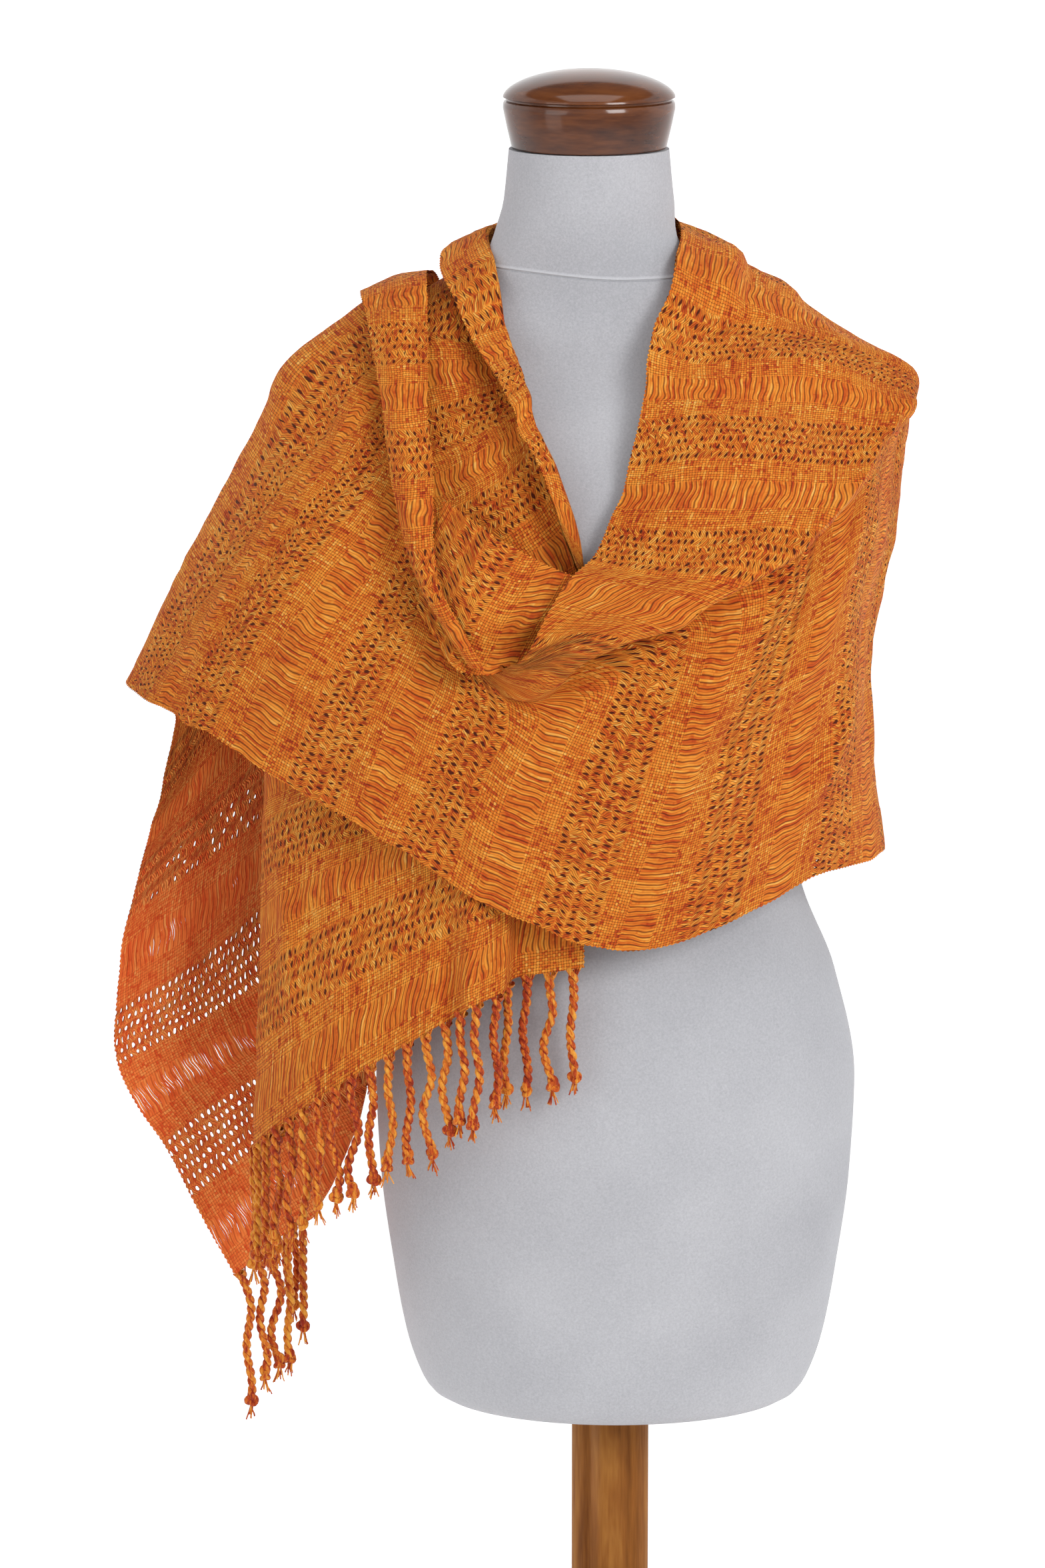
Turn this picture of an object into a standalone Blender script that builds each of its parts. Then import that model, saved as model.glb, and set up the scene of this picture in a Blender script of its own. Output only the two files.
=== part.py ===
"""A woven shawl with a knotted fringe, draped over a limbless dress form on a turned wooden stand.

The frame has +Z up, with its origin at the middle of the stand's underside. The form faces -Y. Left and right
are the viewer's. The shawl is one strip of cloth, 2.35 m long. Its near end hangs down the front on the left. It
passes behind the neck, crosses the front from right to left under a soft roll, turns round the left shoulder
and hangs down the back.
"""

import math
import random

import bpy
import bmesh
import numpy as np
from mathutils import Vector

MM = 0.001
SEAM_GAP = 0.0003  # between pieces that touch

# Cloth
CLOTH_WALL = 0.002
CELL_LONG = 0.036  # size of a facet along the shawl
CELL_WIDE = 0.020  # and across it
PLEAT_WALL = 0.003
PLEAT_SEAT = (0, 0, -0.0022)  # lowers the pleat on to the shoulder
SWAG_SEAT = (0, -0.0030, 0)  # brings the swag up under the pleat

# Fringe
STRAND_PITCH = 0.0145
STRAND_THICKNESS = 0.0052
STRAND_CLEAR = 0.0122  # least distance between two strands, seen from above
FRONT_STRAND_LENGTH = 0.092
BACK_STRAND_LENGTH = 0.106
TUFT_LENGTH = 0.012  # below the middle of the knot
KNOT_THICKNESS = 0.0095
KNOT_HALF = 0.006
FRINGE_STRIP = 0.004  # height of the strip that the strands hang from
STRAND_SWAY = 0.0018
FRINGE_SEED = 11

# Form and stand
NECK_TOP = 1.5450
TORSO_BOTTOM = 0.6540
TORSO_SIDES = 40
NECK_X = -0.017
CAP_TOP = 1.600
CAP_RADIUS = 0.0597
CAP_FOOT_RADIUS = 0.0540
CAP_GROOVE = 1.5793
TURNED_SIDES = 48
POLE_RADIUS = 0.0275
POLE_SIDES = 32
BASE_RADIUS = 0.180
BASE_HEIGHT = 0.030
BASE_ROUNDING = 0.006

# The first row of a table names its columns. Lengths are metres along the shawl. Points are (x, y, z) in millimetres.

FRONT_END = (
    ("length", "turned selvedge", "neckline", "under the turn", "collar", "chest", "armhole", "side", "outer fold",
     "outer edge"),
    (0.0000, (-19, -132, 995), (-44, -131, 991), (-68, -131, 987), (-77, -147, 980), (-94, -151, 973),
     (-130, -141, 950), (-208, -110, 894), (-254, -52, 847), (-226, -12, 845)),
    (0.0900, (-17, -130, 1092), (-34, -129, 1087), (-58, -128, 1082), (-69, -138, 1074), (-91, -141, 1064),
     (-134, -131, 1044), (-207, -102, 1003), (-248, -48, 961), (-225, -5, 956)),
    (0.2000, (-5, -136, 1196), (-14, -131, 1187), (-31, -128, 1176), (-56, -130, 1165), (-92, -130, 1154),
     (-143, -116, 1132), (-203, -90, 1108), (-243, -42, 1080), (-225, 5, 1065)),
    (0.3150, (-40, -137, 1310), (-22, -131, 1282), (-33, -123, 1270), (-60, -127, 1256), (-101, -122, 1238),
     (-152, -102, 1216), (-203, -76, 1190), (-244, -36, 1164), (-225, 10, 1150)),
    (0.3750, (-58, -122, 1348), (-47, -115, 1355), (-54, -105, 1334), (-80, -113, 1310), (-119, -106, 1286),
     (-166, -88, 1264), (-210, -64, 1239), (-244, -30, 1212), (-225, 15, 1202)),
    (0.4720, (-78, -99, 1391), (-62, -91, 1400), (-73, -82, 1380), (-101, -84, 1366), (-136, -78, 1348),
     (-175, -66, 1333), (-211, -48, 1309), (-239, -22, 1284), (-224, 18, 1273)),
    (0.5550, (-99, -69, 1421), (-73, -63, 1429), (-87, -56, 1414), (-116, -53, 1417), (-147, -46, 1413),
     (-175, -38, 1400), (-206, -26, 1377), (-229, -12, 1353), (-224, 20, 1341)),
    (0.5875, (-113, -34, 1450), (-82, -30, 1470), (-94, -25, 1454), (-119, -20, 1442), (-148, -14, 1428),
     (-175, -10, 1413), (-204, -6, 1393), (-226, 0, 1370), (-226, 24, 1355)),
    (0.6200, (-121, 4, 1464), (-87, 8, 1484), (-100, 16, 1465), (-122, 16, 1450), (-149, 18, 1434),
     (-174, 18, 1420), (-200, 16, 1403), (-219, 16, 1382), (-221, 37, 1356)),
)

BACK_NECK = (
    ("length", "standing selvedge", "neckline", "nape", "yoke", "shoulder blade", "back", "lower back",
     "above the hem", "hem"),
    (0.6550, (-114, 34, 1474), (-84, 23, 1489), (-95, 31, 1468), (-114, 35, 1450), (-141, 39, 1427),
     (-167, 42, 1402), (-189, 45, 1372), (-204, 45, 1345), (-211, 54, 1316)),
    (0.6900, (-99, 54, 1479), (-79, 39, 1488), (-88, 44, 1469), (-106, 50, 1447), (-132, 56, 1412),
     (-158, 66, 1372), (-174, 70, 1330), (-180, 70, 1290), (-184, 66, 1250)),
    (0.7700, (-64, 78, 1488), (-56, 62, 1486), (-64, 68, 1470), (-82, 75, 1442), (-104, 85, 1402),
     (-124, 100, 1345), (-134, 108, 1270), (-138, 109, 1195), (-140, 108, 1120)),
    (0.8600, (-17, 74, 1499), (-17, 66, 1486), (-17, 71, 1471), (-15, 83, 1442), (-12, 102, 1395),
     (-8, 118, 1320), (-4, 125, 1230), (-1, 127, 1125), (2, 126, 1020)),
    (0.9300, (27, 54, 1500), (28, 56, 1488), (37, 62, 1474), (66, 72, 1446), (98, 88, 1405),
     (120, 106, 1340), (132, 112, 1250), (140, 108, 1150), (148, 102, 1035)),
)

CROSS_FRONT = (
    ("length", "collar edge", "inside the edge", "lapel", "roll top", "roll nose", "tuck", "belly", "lower belly",
     "hem"),
    (0.9965, (52, 8, 1491), (60, 10, 1485), (94, 12, 1462), (154, 15, 1420), (211, 22, 1385),
     (206, 30, 1347), (198, 38, 1269), (181, 42, 1165), (193, 40, 1047)),
    (1.0365, (42, -43, 1470), (50, -42, 1466), (82, -34, 1448), (138, -20, 1424), (212, 0, 1384),
     (204, 10, 1347), (197, 18, 1274), (180, 22, 1172), (193, 20, 1048)),
    (1.0765, (28, -68, 1432), (36, -68, 1428), (62, -64, 1417), (119, -46, 1415), (211, -18, 1377),
     (199, -8, 1343), (194, 0, 1276), (178, 2, 1178), (193, 0, 1049)),
    (1.1765, (12, -106, 1355), (20, -108, 1355), (60, -113, 1362), (132, -97, 1354), (191, -62, 1344),
     (181, -54, 1331), (175, -68, 1296), (164, -78, 1202), (152, -75, 1051)),
    (1.2765, (-10, -134, 1291), (-2, -138, 1289), (50, -152, 1286), (90, -152, 1289), (123, -141, 1281),
     (124, -118, 1292), (121, -126, 1260), (94, -138, 1173), (64, -135, 1020)),
    (1.3265, (-35, -157, 1266), (-27, -159, 1264), (3, -168, 1257), (30, -174, 1252), (50, -170, 1245),
     (55, -140, 1264), (75, -146, 1240), (53, -155, 1150), (11, -150, 1010)),
    (1.3765, (-68, -176, 1215), (-62, -178, 1215), (-50, -182, 1221), (-32, -184, 1226), (-13, -179, 1220),
     (-5, -146, 1238), (30, -154, 1221), (-1, -160, 1135), (-37, -155, 1022)),
    (1.4265, (-86, -153, 1209), (-84, -154, 1206), (-79, -156, 1201), (-70, -158, 1195), (-60, -160, 1188),
     (-47, -154, 1187), (-36, -160, 1178), (-58, -160, 1128), (-85, -152, 1041)),
    (1.4765, (-106, -140, 1222), (-104, -142, 1218), (-100, -145, 1212), (-95, -147, 1203), (-92, -150, 1194),
     (-92, -152, 1182), (-97, -154, 1166), (-112, -152, 1126), (-134, -146, 1071)),
    (1.5765, (-133, -116, 1294), (-134, -118, 1285), (-136, -121, 1274), (-142, -126, 1259), (-151, -130, 1239),
     (-162, -132, 1219), (-174, -133, 1198), (-190, -131, 1163), (-208, -122, 1111)),
    (1.6765, (-152, -76, 1376), (-155, -80, 1368), (-159, -84, 1358), (-170, -91, 1342), (-183, -95, 1325),
     (-203, -97, 1303), (-226, -96, 1271), (-257, -88, 1223), (-293, -72, 1153)),
    (1.7765, (-156, -32, 1429), (-160, -36, 1423), (-166, -40, 1414), (-184, -50, 1394), (-203, -56, 1366),
     (-226, -57, 1336), (-251, -53, 1298), (-287, -42, 1243), (-332, -24, 1165)),
    (1.8165, (-160, 8, 1447), (-166, 8, 1443), (-174, 6, 1437), (-205, 4, 1415), (-233, 2, 1391),
     (-245, 4, 1360), (-264, 4, 1321), (-293, 4, 1268), (-342, 2, 1169)),
)

BACK_END = (
    ("length", "upper edge", "inside the edge", "shoulder blade", "rear fold", "under the rear fold", "inner fold",
     "sheet", "outer sheet", "lower edge"),
    (1.8765, (-102, 84, 1436), (-110, 85, 1433), (-132, 82, 1419), (-166, 75, 1393), (-206, 64, 1354),
     (-242, 56, 1301), (-285, 47, 1215), (-305, 45, 1180), (-323, 45, 1148)),
    (1.9265, (-84, 116, 1382), (-97, 118, 1375), (-123, 116, 1355), (-165, 106, 1322), (-208, 84, 1275),
     (-248, 64, 1228), (-283, 50, 1175), (-300, 48, 1152), (-310, 47, 1134)),
    (1.9765, (-78, 132, 1322), (-95, 133, 1315), (-125, 128, 1292), (-168, 110, 1258), (-212, 82, 1215),
     (-254, 62, 1172), (-292, 48, 1127), (-306, 44, 1107), (-319, 41, 1090)),
    (2.0765, (-84, 141, 1212), (-104, 141, 1205), (-136, 134, 1180), (-177, 111, 1145), (-220, 81, 1108),
     (-255, 62, 1079), (-300, 46, 1045), (-322, 40, 1028), (-340, 36, 1012)),
    (2.1265, (-90, 145, 1160), (-109, 145, 1153), (-139, 137, 1129), (-175, 115, 1095), (-212, 87, 1058),
     (-250, 64, 1026), (-307, 45, 985), (-332, 38, 970), (-351, 33, 958)),
    (2.1765, (-100, 150, 1105), (-118, 150, 1100), (-144, 142, 1078), (-168, 124, 1048), (-195, 102, 1018),
     (-230, 75, 984), (-294, 47, 936), (-330, 37, 917), (-357, 30, 904)),
    (2.2765, (-128, 148, 1010), (-143, 147, 1004), (-185, 138, 982), (-226, 120, 950), (-214, 99, 914),
     (-172, 64, 886), (-222, 54, 869), (-268, 42, 841), (-312, 30, 808)),
    (2.3150, (-148, 145, 972), (-166, 142, 964), (-206, 129, 942), (-244, 112, 910), (-230, 91, 868),
     (-182, 58, 834), (-226, 48, 814), (-260, 38, 792), (-291, 28, 769)),
    (2.3530, (-160, 142, 940), (-178, 137, 930), (-212, 124, 907), (-250, 108, 870), (-240, 87, 820),
     (-212, 54, 771), (-230, 46, 760), (-249, 37, 747), (-269, 28, 731)),
)

# The swag lies between the lapel and the front end, below the neckline. Its lengths run along its fold.
SWAG = (
    ("length", "top fold", "upper face", "lower face", "bottom fold"),
    (0.000, (-25, -143, 1270), (-32, -148, 1249), (-37, -151, 1237), (-40, -147, 1227)),
    (0.022, (-41, -140, 1275), (-49, -147, 1254), (-57, -152, 1238), (-61, -148, 1224)),
    (0.046, (-61, -138, 1285), (-70, -153, 1262), (-80, -162, 1238), (-84, -158, 1218)),
    (0.068, (-82, -137, 1296), (-90, -153, 1273), (-100, -165, 1243), (-105, -162, 1222)),
    (0.088, (-100, -131, 1310), (-106, -140, 1288), (-114, -150, 1262), (-120, -150, 1241)),
    (0.104, (-116, -124, 1319), (-121, -128, 1300), (-127, -136, 1278), (-133, -139, 1258)),
)

# The pleat climbs from the swag over the left shoulder and opens out down the back.
SHOULDER_PLEAT = (
    ("length", "outer fold", "outer face", "inner face", "inner edge"),
    (0.000, (-99, -172, 1214), (-95, -176, 1214), (-92, -177, 1214), (-88, -175, 1213)),
    (0.030, (-115, -163, 1239), (-112, -170, 1239), (-108, -171, 1240), (-105, -168, 1242)),
    (0.062, (-132, -150, 1265), (-128, -158, 1266), (-124, -159, 1267), (-119, -155, 1269)),
    (0.100, (-145, -136, 1301), (-138, -146, 1302), (-131, -146, 1303), (-124, -140, 1303)),
    (0.145, (-153, -115, 1340), (-144, -125, 1340), (-134, -125, 1341), (-124, -117, 1341)),
    (0.190, (-158, -92, 1377), (-148, -102, 1378), (-138, -102, 1379), (-128, -94, 1380)),
    (0.235, (-165, -66, 1411), (-152, -76, 1413), (-140, -76, 1414), (-128, -68, 1411)),
    (0.275, (-170, -40, 1435), (-156, -48, 1439), (-142, -48, 1441), (-128, -42, 1441)),
    (0.320, (-176, -2, 1447), (-161, -3, 1454), (-145, -3, 1458), (-129, -2, 1460)),
    (0.370, (-170, 50, 1438), (-155, 55, 1449), (-139, 58, 1454), (-124, 58, 1454)),
    (0.425, (-158, 99, 1399), (-143, 107, 1407), (-127, 111, 1411), (-112, 111, 1410)),
    (0.500, (-146, 131, 1328), (-131, 139, 1331), (-115, 144, 1333), (-101, 145, 1331)),
    (0.575, (-138, 138, 1254), (-124, 142, 1254), (-109, 147, 1254), (-96, 150, 1252)),
)

# Rings of the form from the underside to the neck, in metres
TORSO_RINGS = (
    ("height", "half width", "depth in front", "depth behind", "middle x"),
    (0.6540, 0.124, 0.090, 0.086, 0.003),
    (0.6580, 0.131, 0.096, 0.092, 0.003),
    (0.6680, 0.138, 0.102, 0.098, 0.003),
    (0.7000, 0.149, 0.109, 0.105, 0.003),
    (0.7500, 0.158, 0.115, 0.112, 0.003),
    (0.8200, 0.167, 0.120, 0.120, 0.003),
    (0.8870, 0.170, 0.122, 0.123, 0.003),
    (0.9650, 0.157, 0.115, 0.112, 0.001),
    (1.0200, 0.137, 0.103, 0.098, -0.001),
    (1.0900, 0.121, 0.092, 0.086, -0.003),
    (1.1600, 0.127, 0.103, 0.090, -0.005),
    (1.2300, 0.143, 0.119, 0.098, -0.007),
    (1.2700, 0.152, 0.1234, 0.102, -0.008),
    (1.3100, 0.160, 0.111, 0.105, -0.009),
    (1.3500, 0.173, 0.091, 0.102, -0.010),
    (1.3750, 0.188, 0.074, 0.090, -0.010),
    (1.3880, 0.189, 0.062, 0.077, -0.010),
    (1.4020, 0.172, 0.056, 0.070, -0.010),
    (1.4200, 0.147, 0.052, 0.065, -0.010),
    (1.4450, 0.097, 0.048, 0.060, -0.011),
    (1.4650, 0.070, 0.049, 0.056, -0.014),
    (1.4850, 0.0595, 0.052, 0.055, -0.016),
    (1.5100, 0.059, 0.054, 0.055, -0.017),
    (1.5450, 0.0555, 0.0545, 0.0545, -0.017),
)


def new_material(name, colour, roughness):
    """A Principled material with one sRGB colour given as hex digits."""
    material = bpy.data.materials.new(name)
    material.use_nodes = True
    shader = material.node_tree.nodes["Principled BSDF"]
    channels = [int(colour[i:i + 2], 16) / 255 for i in (0, 2, 4)]
    linear = [c / 12.92 if c <= 0.04045 else ((c + 0.055) / 1.055) ** 2.4 for c in channels]
    shader.inputs["Base Color"].default_value = (*linear, 1)
    shader.inputs["Roughness"].default_value = roughness
    shader.inputs["Metallic"].default_value = 0
    return material


def new_object(name, vertices, faces, material, smooth_angle=40):
    """A closed mesh object whose faces all point out."""
    mesh = bpy.data.meshes.new(name)
    mesh.from_pydata([tuple(v) for v in vertices], [], faces)
    shell = bmesh.new()
    shell.from_mesh(mesh)
    bmesh.ops.recalc_face_normals(shell, faces=shell.faces)
    bmesh.ops.triangulate(shell, faces=shell.faces)
    shell.to_mesh(mesh)
    shell.free()
    mesh.materials.append(material)
    mesh.shade_smooth()
    mesh.set_sharp_from_angle(angle=math.radians(smooth_angle))
    item = bpy.data.objects.new(name, mesh)
    bpy.context.scene.collection.objects.link(item)
    return item


def through(values, knots, at):
    """A cubic through the values at the knots, whose slopes are held back so that no fold overshoots."""
    gaps = np.diff(knots).reshape((-1,) + (1,) * (values.ndim - 1))
    steps = np.diff(values, axis=0) / gaps
    before, after = steps[:-1], steps[1:]
    same_way = before * after > 0
    total = np.where(same_way, before + after, 1)
    inner = np.where(same_way, 2 * before * after / total, 0)
    slopes = np.concatenate([steps[:1], inner, steps[-1:]])
    cell = np.clip(np.searchsorted(knots, at, side="right") - 1, 0, len(knots) - 2)
    gap = gaps[cell]
    t = ((at - knots[cell]) / np.diff(knots)[cell]).reshape((-1,) + (1,) * (values.ndim - 1))
    return (
        (2 * t**3 - 3 * t**2 + 1) * values[cell] + (t**3 - 2 * t**2 + t) * gap * slopes[cell]
        + (3 * t**2 - 2 * t**3) * values[cell + 1] + (t**3 - t**2) * gap * slopes[cell + 1]
    )


def spread(knots, step):
    """Positions that include every knot, with about one step between them."""
    parts = [np.array(knots[:1])]
    for low, high in zip(knots, knots[1:]):
        count = max(1, round((high - low) / step))
        parts.append(np.linspace(low, high, count + 1)[1:])
    return np.concatenate(parts)


class Sheet:
    """A length of cloth through rows of points: its surface is a smooth function of length and width."""

    def __init__(self, *tables):
        rows = [row for table in tables for row in table[1:]]
        self.lengths = np.array([row[0] for row in rows])
        self.points = np.array([row[1:] for row in rows], dtype=float) * MM
        chords = np.linalg.norm(np.diff(self.points, axis=1), axis=2).mean(axis=0)
        self.widths = np.concatenate([[0], np.cumsum(chords)])

    def grid(self, cell_long, cell_wide):
        """Points of the middle of the wall, and the length of each of their rows."""
        along = spread(self.lengths, cell_long)
        across = spread(self.widths, cell_wide)
        rows = through(self.points, self.lengths, along)
        return along, through(rows.swapaxes(0, 1), self.widths, across).swapaxes(0, 1)


def unit(vectors):
    """Vectors of length one."""
    return vectors / np.linalg.norm(vectors, axis=-1, keepdims=True)


def turn(grid, axis):
    """At each point: the direction of a line of the grid, and the cosine of half the angle that it turns by."""
    heading = unit(np.diff(grid, axis=axis))
    first, last = np.take(heading, [0], axis), np.take(heading, [-1], axis)
    total = np.concatenate([first, heading], axis) + np.concatenate([heading, last], axis)
    return unit(total), np.linalg.norm(total, axis=2, keepdims=True) / 2


def wall_offsets(grid, thickness):
    """From the middle of the wall to its face at each point, longer in a fold so that the wall keeps its thickness."""
    along, along_turn = turn(grid, 0)
    across, across_turn = turn(grid, 1)
    lengthening = 1 / np.clip(along_turn * across_turn, 0.5, 1)
    return unit(np.cross(along, across)) * lengthening * thickness / 2


def out_of_edge(grid, offsets, row):
    """From each point of an end row, a way on along the sheet that leads a distance of one away from the edge."""
    heading = unit(grid[row] - grid[1 if row == 0 else row - 1])
    square = unit(np.cross(offsets[row], turn(grid, 1)[0][row]))
    return heading / np.maximum(abs(np.sum(square * heading, axis=1, keepdims=True)), 0.4)


def wall(name, grid, offsets, material):
    """A closed wall around a grid: two faces and a rim. Each cell is cut along its shorter diagonal."""
    rows, columns = grid.shape[:2]
    vertices = np.concatenate([(grid + offsets).reshape(-1, 3), (grid - offsets).reshape(-1, 3)])
    under = rows * columns

    def at(row, column):
        return row * columns + column

    faces = []
    for i in range(rows - 1):
        for j in range(columns - 1):
            a, b, c, d = at(i, j), at(i, j + 1), at(i + 1, j + 1), at(i + 1, j)
            falling = np.linalg.norm(grid[i, j] - grid[i + 1, j + 1])
            rising = np.linalg.norm(grid[i, j + 1] - grid[i + 1, j])
            for triangle in ((a, b, c), (a, c, d)) if falling < rising else ((a, b, d), (b, c, d)):
                faces.append(triangle)
                faces.append(tuple(under + k for k in reversed(triangle)))
    edge = [at(i, 0) for i in range(rows)]
    edge += [at(rows - 1, j) for j in range(1, columns)]
    edge += [at(i, columns - 1) for i in range(rows - 2, -1, -1)]
    edge += [at(0, j) for j in range(columns - 2, 0, -1)]
    for one, other in zip(edge, edge[1:] + edge[:1]):
        faces.append((one, other, under + other, under + one))
    return new_object(name, vertices, faces, material)


def strand_rings(length):
    """Distance down a strand and its thickness there: root, cord, knot and tuft."""
    cord = STRAND_THICKNESS
    knot = length - TUFT_LENGTH
    return (
        (0.008, cord), (0.3 * knot, cord), (0.65 * knot, cord), (knot - KNOT_HALF, cord),
        (knot, KNOT_THICKNESS), (knot + KNOT_HALF, cord), (length, cord * 1.2),
    )


def fringe(name, edge, outward, offsets, length, material):
    """A narrow strip beyond a cloth edge, whose underside grows into hanging strands of four sides."""
    chance = random.Random(FRINGE_SEED)
    lengths = np.concatenate([[0], np.cumsum(np.linalg.norm(np.diff(edge, axis=0), axis=1))])
    half = STRAND_THICKNESS / 2
    margin = half + 0.001

    def along(values, at):
        return Vector([np.interp(at, lengths, values[:, axis]) for axis in range(3)])

    roots = []
    for at in np.arange(STRAND_PITCH / 2, lengths[-1] - margin, STRAND_PITCH):
        corner = min(lengths, key=lambda length: abs(length - at))
        if abs(at - corner) < margin:
            at = corner + margin if at > corner or corner == 0 else corner - margin
        place = along(edge, at)
        if all((place - along(edge, other)).xy.length > STRAND_CLEAR for other in roots):
            roots.append(at)
    cuts = sorted([*lengths, *(root - half for root in roots), *(root + half for root in roots)])

    vertices, faces = [], []
    for cut in cuts:
        base = along(edge, cut)
        out = along(outward, cut).normalized()
        side = along(offsets, cut)
        near, far = base + out * SEAM_GAP, base + out * (SEAM_GAP + FRINGE_STRIP)
        vertices += [near + side, near - side, far - side, far + side]
    faces += [(3, 2, 1, 0), tuple(range(4 * len(cuts) - 4, 4 * len(cuts)))]
    for k in range(len(cuts) - 1):
        a, b = 4 * k, 4 * k + 4
        faces += [(a, a + 1, b + 1, b), (a + 1, a + 2, b + 2, b + 1), (a + 3, a, b, b + 3)]
        middle = (cuts[k] + cuts[k + 1]) / 2
        if all(abs(middle - root) > half / 2 for root in roots):
            faces.append((a + 2, a + 3, b + 3, b + 2))
            continue
        out = along(outward, middle).normalized()
        ring = [a + 2, a + 3, b + 3, b + 2]
        centre = sum((vertices[v] for v in ring), Vector()) / 4
        hem = (vertices[b + 2] - vertices[a + 2]).normalized()
        flat = Vector((hem.x, hem.y, 0)).normalized()
        aside = Vector((-flat.y, flat.x, 0))
        if aside.dot(vertices[a + 3] - vertices[a + 2]) < 0:
            aside = -aside
        phase = chance.uniform(0, math.tau)
        sway = STRAND_SWAY * chance.uniform(0.4, 1)
        stretch = chance.uniform(0.93, 1.05)
        travelled = 0.0
        for distance, thickness in strand_rings(length):
            fall = min(1, distance / 0.03)
            heading = (out * (1 - fall) + Vector((0, 0, -1)) * fall).normalized()
            centre = centre + heading * (distance - travelled) * stretch
            travelled = distance
            swing = sway * math.sin(phase + distance * 70) * fall
            middle_point = centre + flat * swing
            start = len(vertices)
            for u, v in ((-1, -1), (-1, 1), (1, 1), (1, -1)):
                vertices.append(middle_point + (flat * u + aside * v) * thickness / 2)
            new_ring = [start, start + 1, start + 2, start + 3]
            for i in range(4):
                faces.append((ring[i], ring[(i + 1) % 4], new_ring[(i + 1) % 4], new_ring[i]))
            ring = new_ring
        faces.append(tuple(ring))
    return new_object(name, vertices, faces, material)


def torso(material):
    """The padded body of the form: flattened rings joined from the underside to the neck."""
    vertices, faces = [], []
    for height, half_width, front, behind, middle in TORSO_RINGS[1:]:
        for k in range(TORSO_SIDES):
            angle = math.tau * k / TORSO_SIDES
            depth = behind if math.sin(angle) > 0 else front
            vertices.append((middle + half_width * math.cos(angle), depth * math.sin(angle), height))
    for ring in range(len(TORSO_RINGS) - 2):
        for k in range(TORSO_SIDES):
            low, high = ring * TORSO_SIDES, (ring + 1) * TORSO_SIDES
            after = (k + 1) % TORSO_SIDES
            faces.append((low + k, low + after, high + after, high + k))
    faces.append(tuple(reversed(range(TORSO_SIDES))))
    faces.append(tuple(range(len(vertices) - TORSO_SIDES, len(vertices))))
    return new_object("form_torso", vertices, faces, material)


def turned(name, profile, middle_x, sides, material):
    """A turned solid: rings of the profile's radius and height, closed by its two end rings."""
    vertices, faces = [], []
    for radius, height in profile:
        for k in range(sides):
            angle = math.tau * k / sides
            vertices.append((middle_x + radius * math.cos(angle), radius * math.sin(angle), height))
    for ring in range(len(profile) - 1):
        for k in range(sides):
            low, high = ring * sides, (ring + 1) * sides
            after = (k + 1) % sides
            faces.append((low + k, low + after, high + after, high + k))
    faces.append(tuple(reversed(range(sides))))
    faces.append(tuple(range(len(vertices) - sides, len(vertices))))
    return new_object(name, vertices, faces, material)


def neck_cap_profile():
    """The wooden neck cap: a cup that widens upward, a fine groove and a low dome."""
    foot = NECK_TOP + SEAM_GAP
    groove = 0.0012
    profile = [(CAP_FOOT_RADIUS - 0.002, foot), (CAP_FOOT_RADIUS, foot + 0.002), (0.0572, 1.5610)]
    profile += [(CAP_RADIUS, CAP_GROOVE - 0.006), (CAP_RADIUS - 0.0008, CAP_GROOVE - 0.0015)]
    profile += [(CAP_RADIUS - groove * 2, CAP_GROOVE - 0.0005), (CAP_RADIUS - groove * 2, CAP_GROOVE + 0.0005)]
    dome_foot = CAP_GROOVE + 0.0015
    dome_height = CAP_TOP - dome_foot
    for k in range(7):
        angle = math.radians(84) * k / 6
        profile.append((CAP_RADIUS * math.cos(angle), dome_foot + dome_height * math.sin(angle) ** 1.15))
    return profile


def base_profile():
    """The stand's round foot: flat underside, rounded rim and a low boss under the pole."""
    corner = BASE_ROUNDING
    boss_radius, boss_height = 0.042, BASE_HEIGHT
    top = BASE_HEIGHT - 0.006
    profile = [(BASE_RADIUS - corner, 0.0), (BASE_RADIUS, corner)]
    for k in range(4):
        angle = math.radians(90) * k / 3
        profile.append((BASE_RADIUS - corner * (1 - math.cos(angle)), top - corner * (1 - math.sin(angle))))
    profile += [(boss_radius + 0.010, top), (boss_radius, boss_height)]
    return profile


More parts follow.
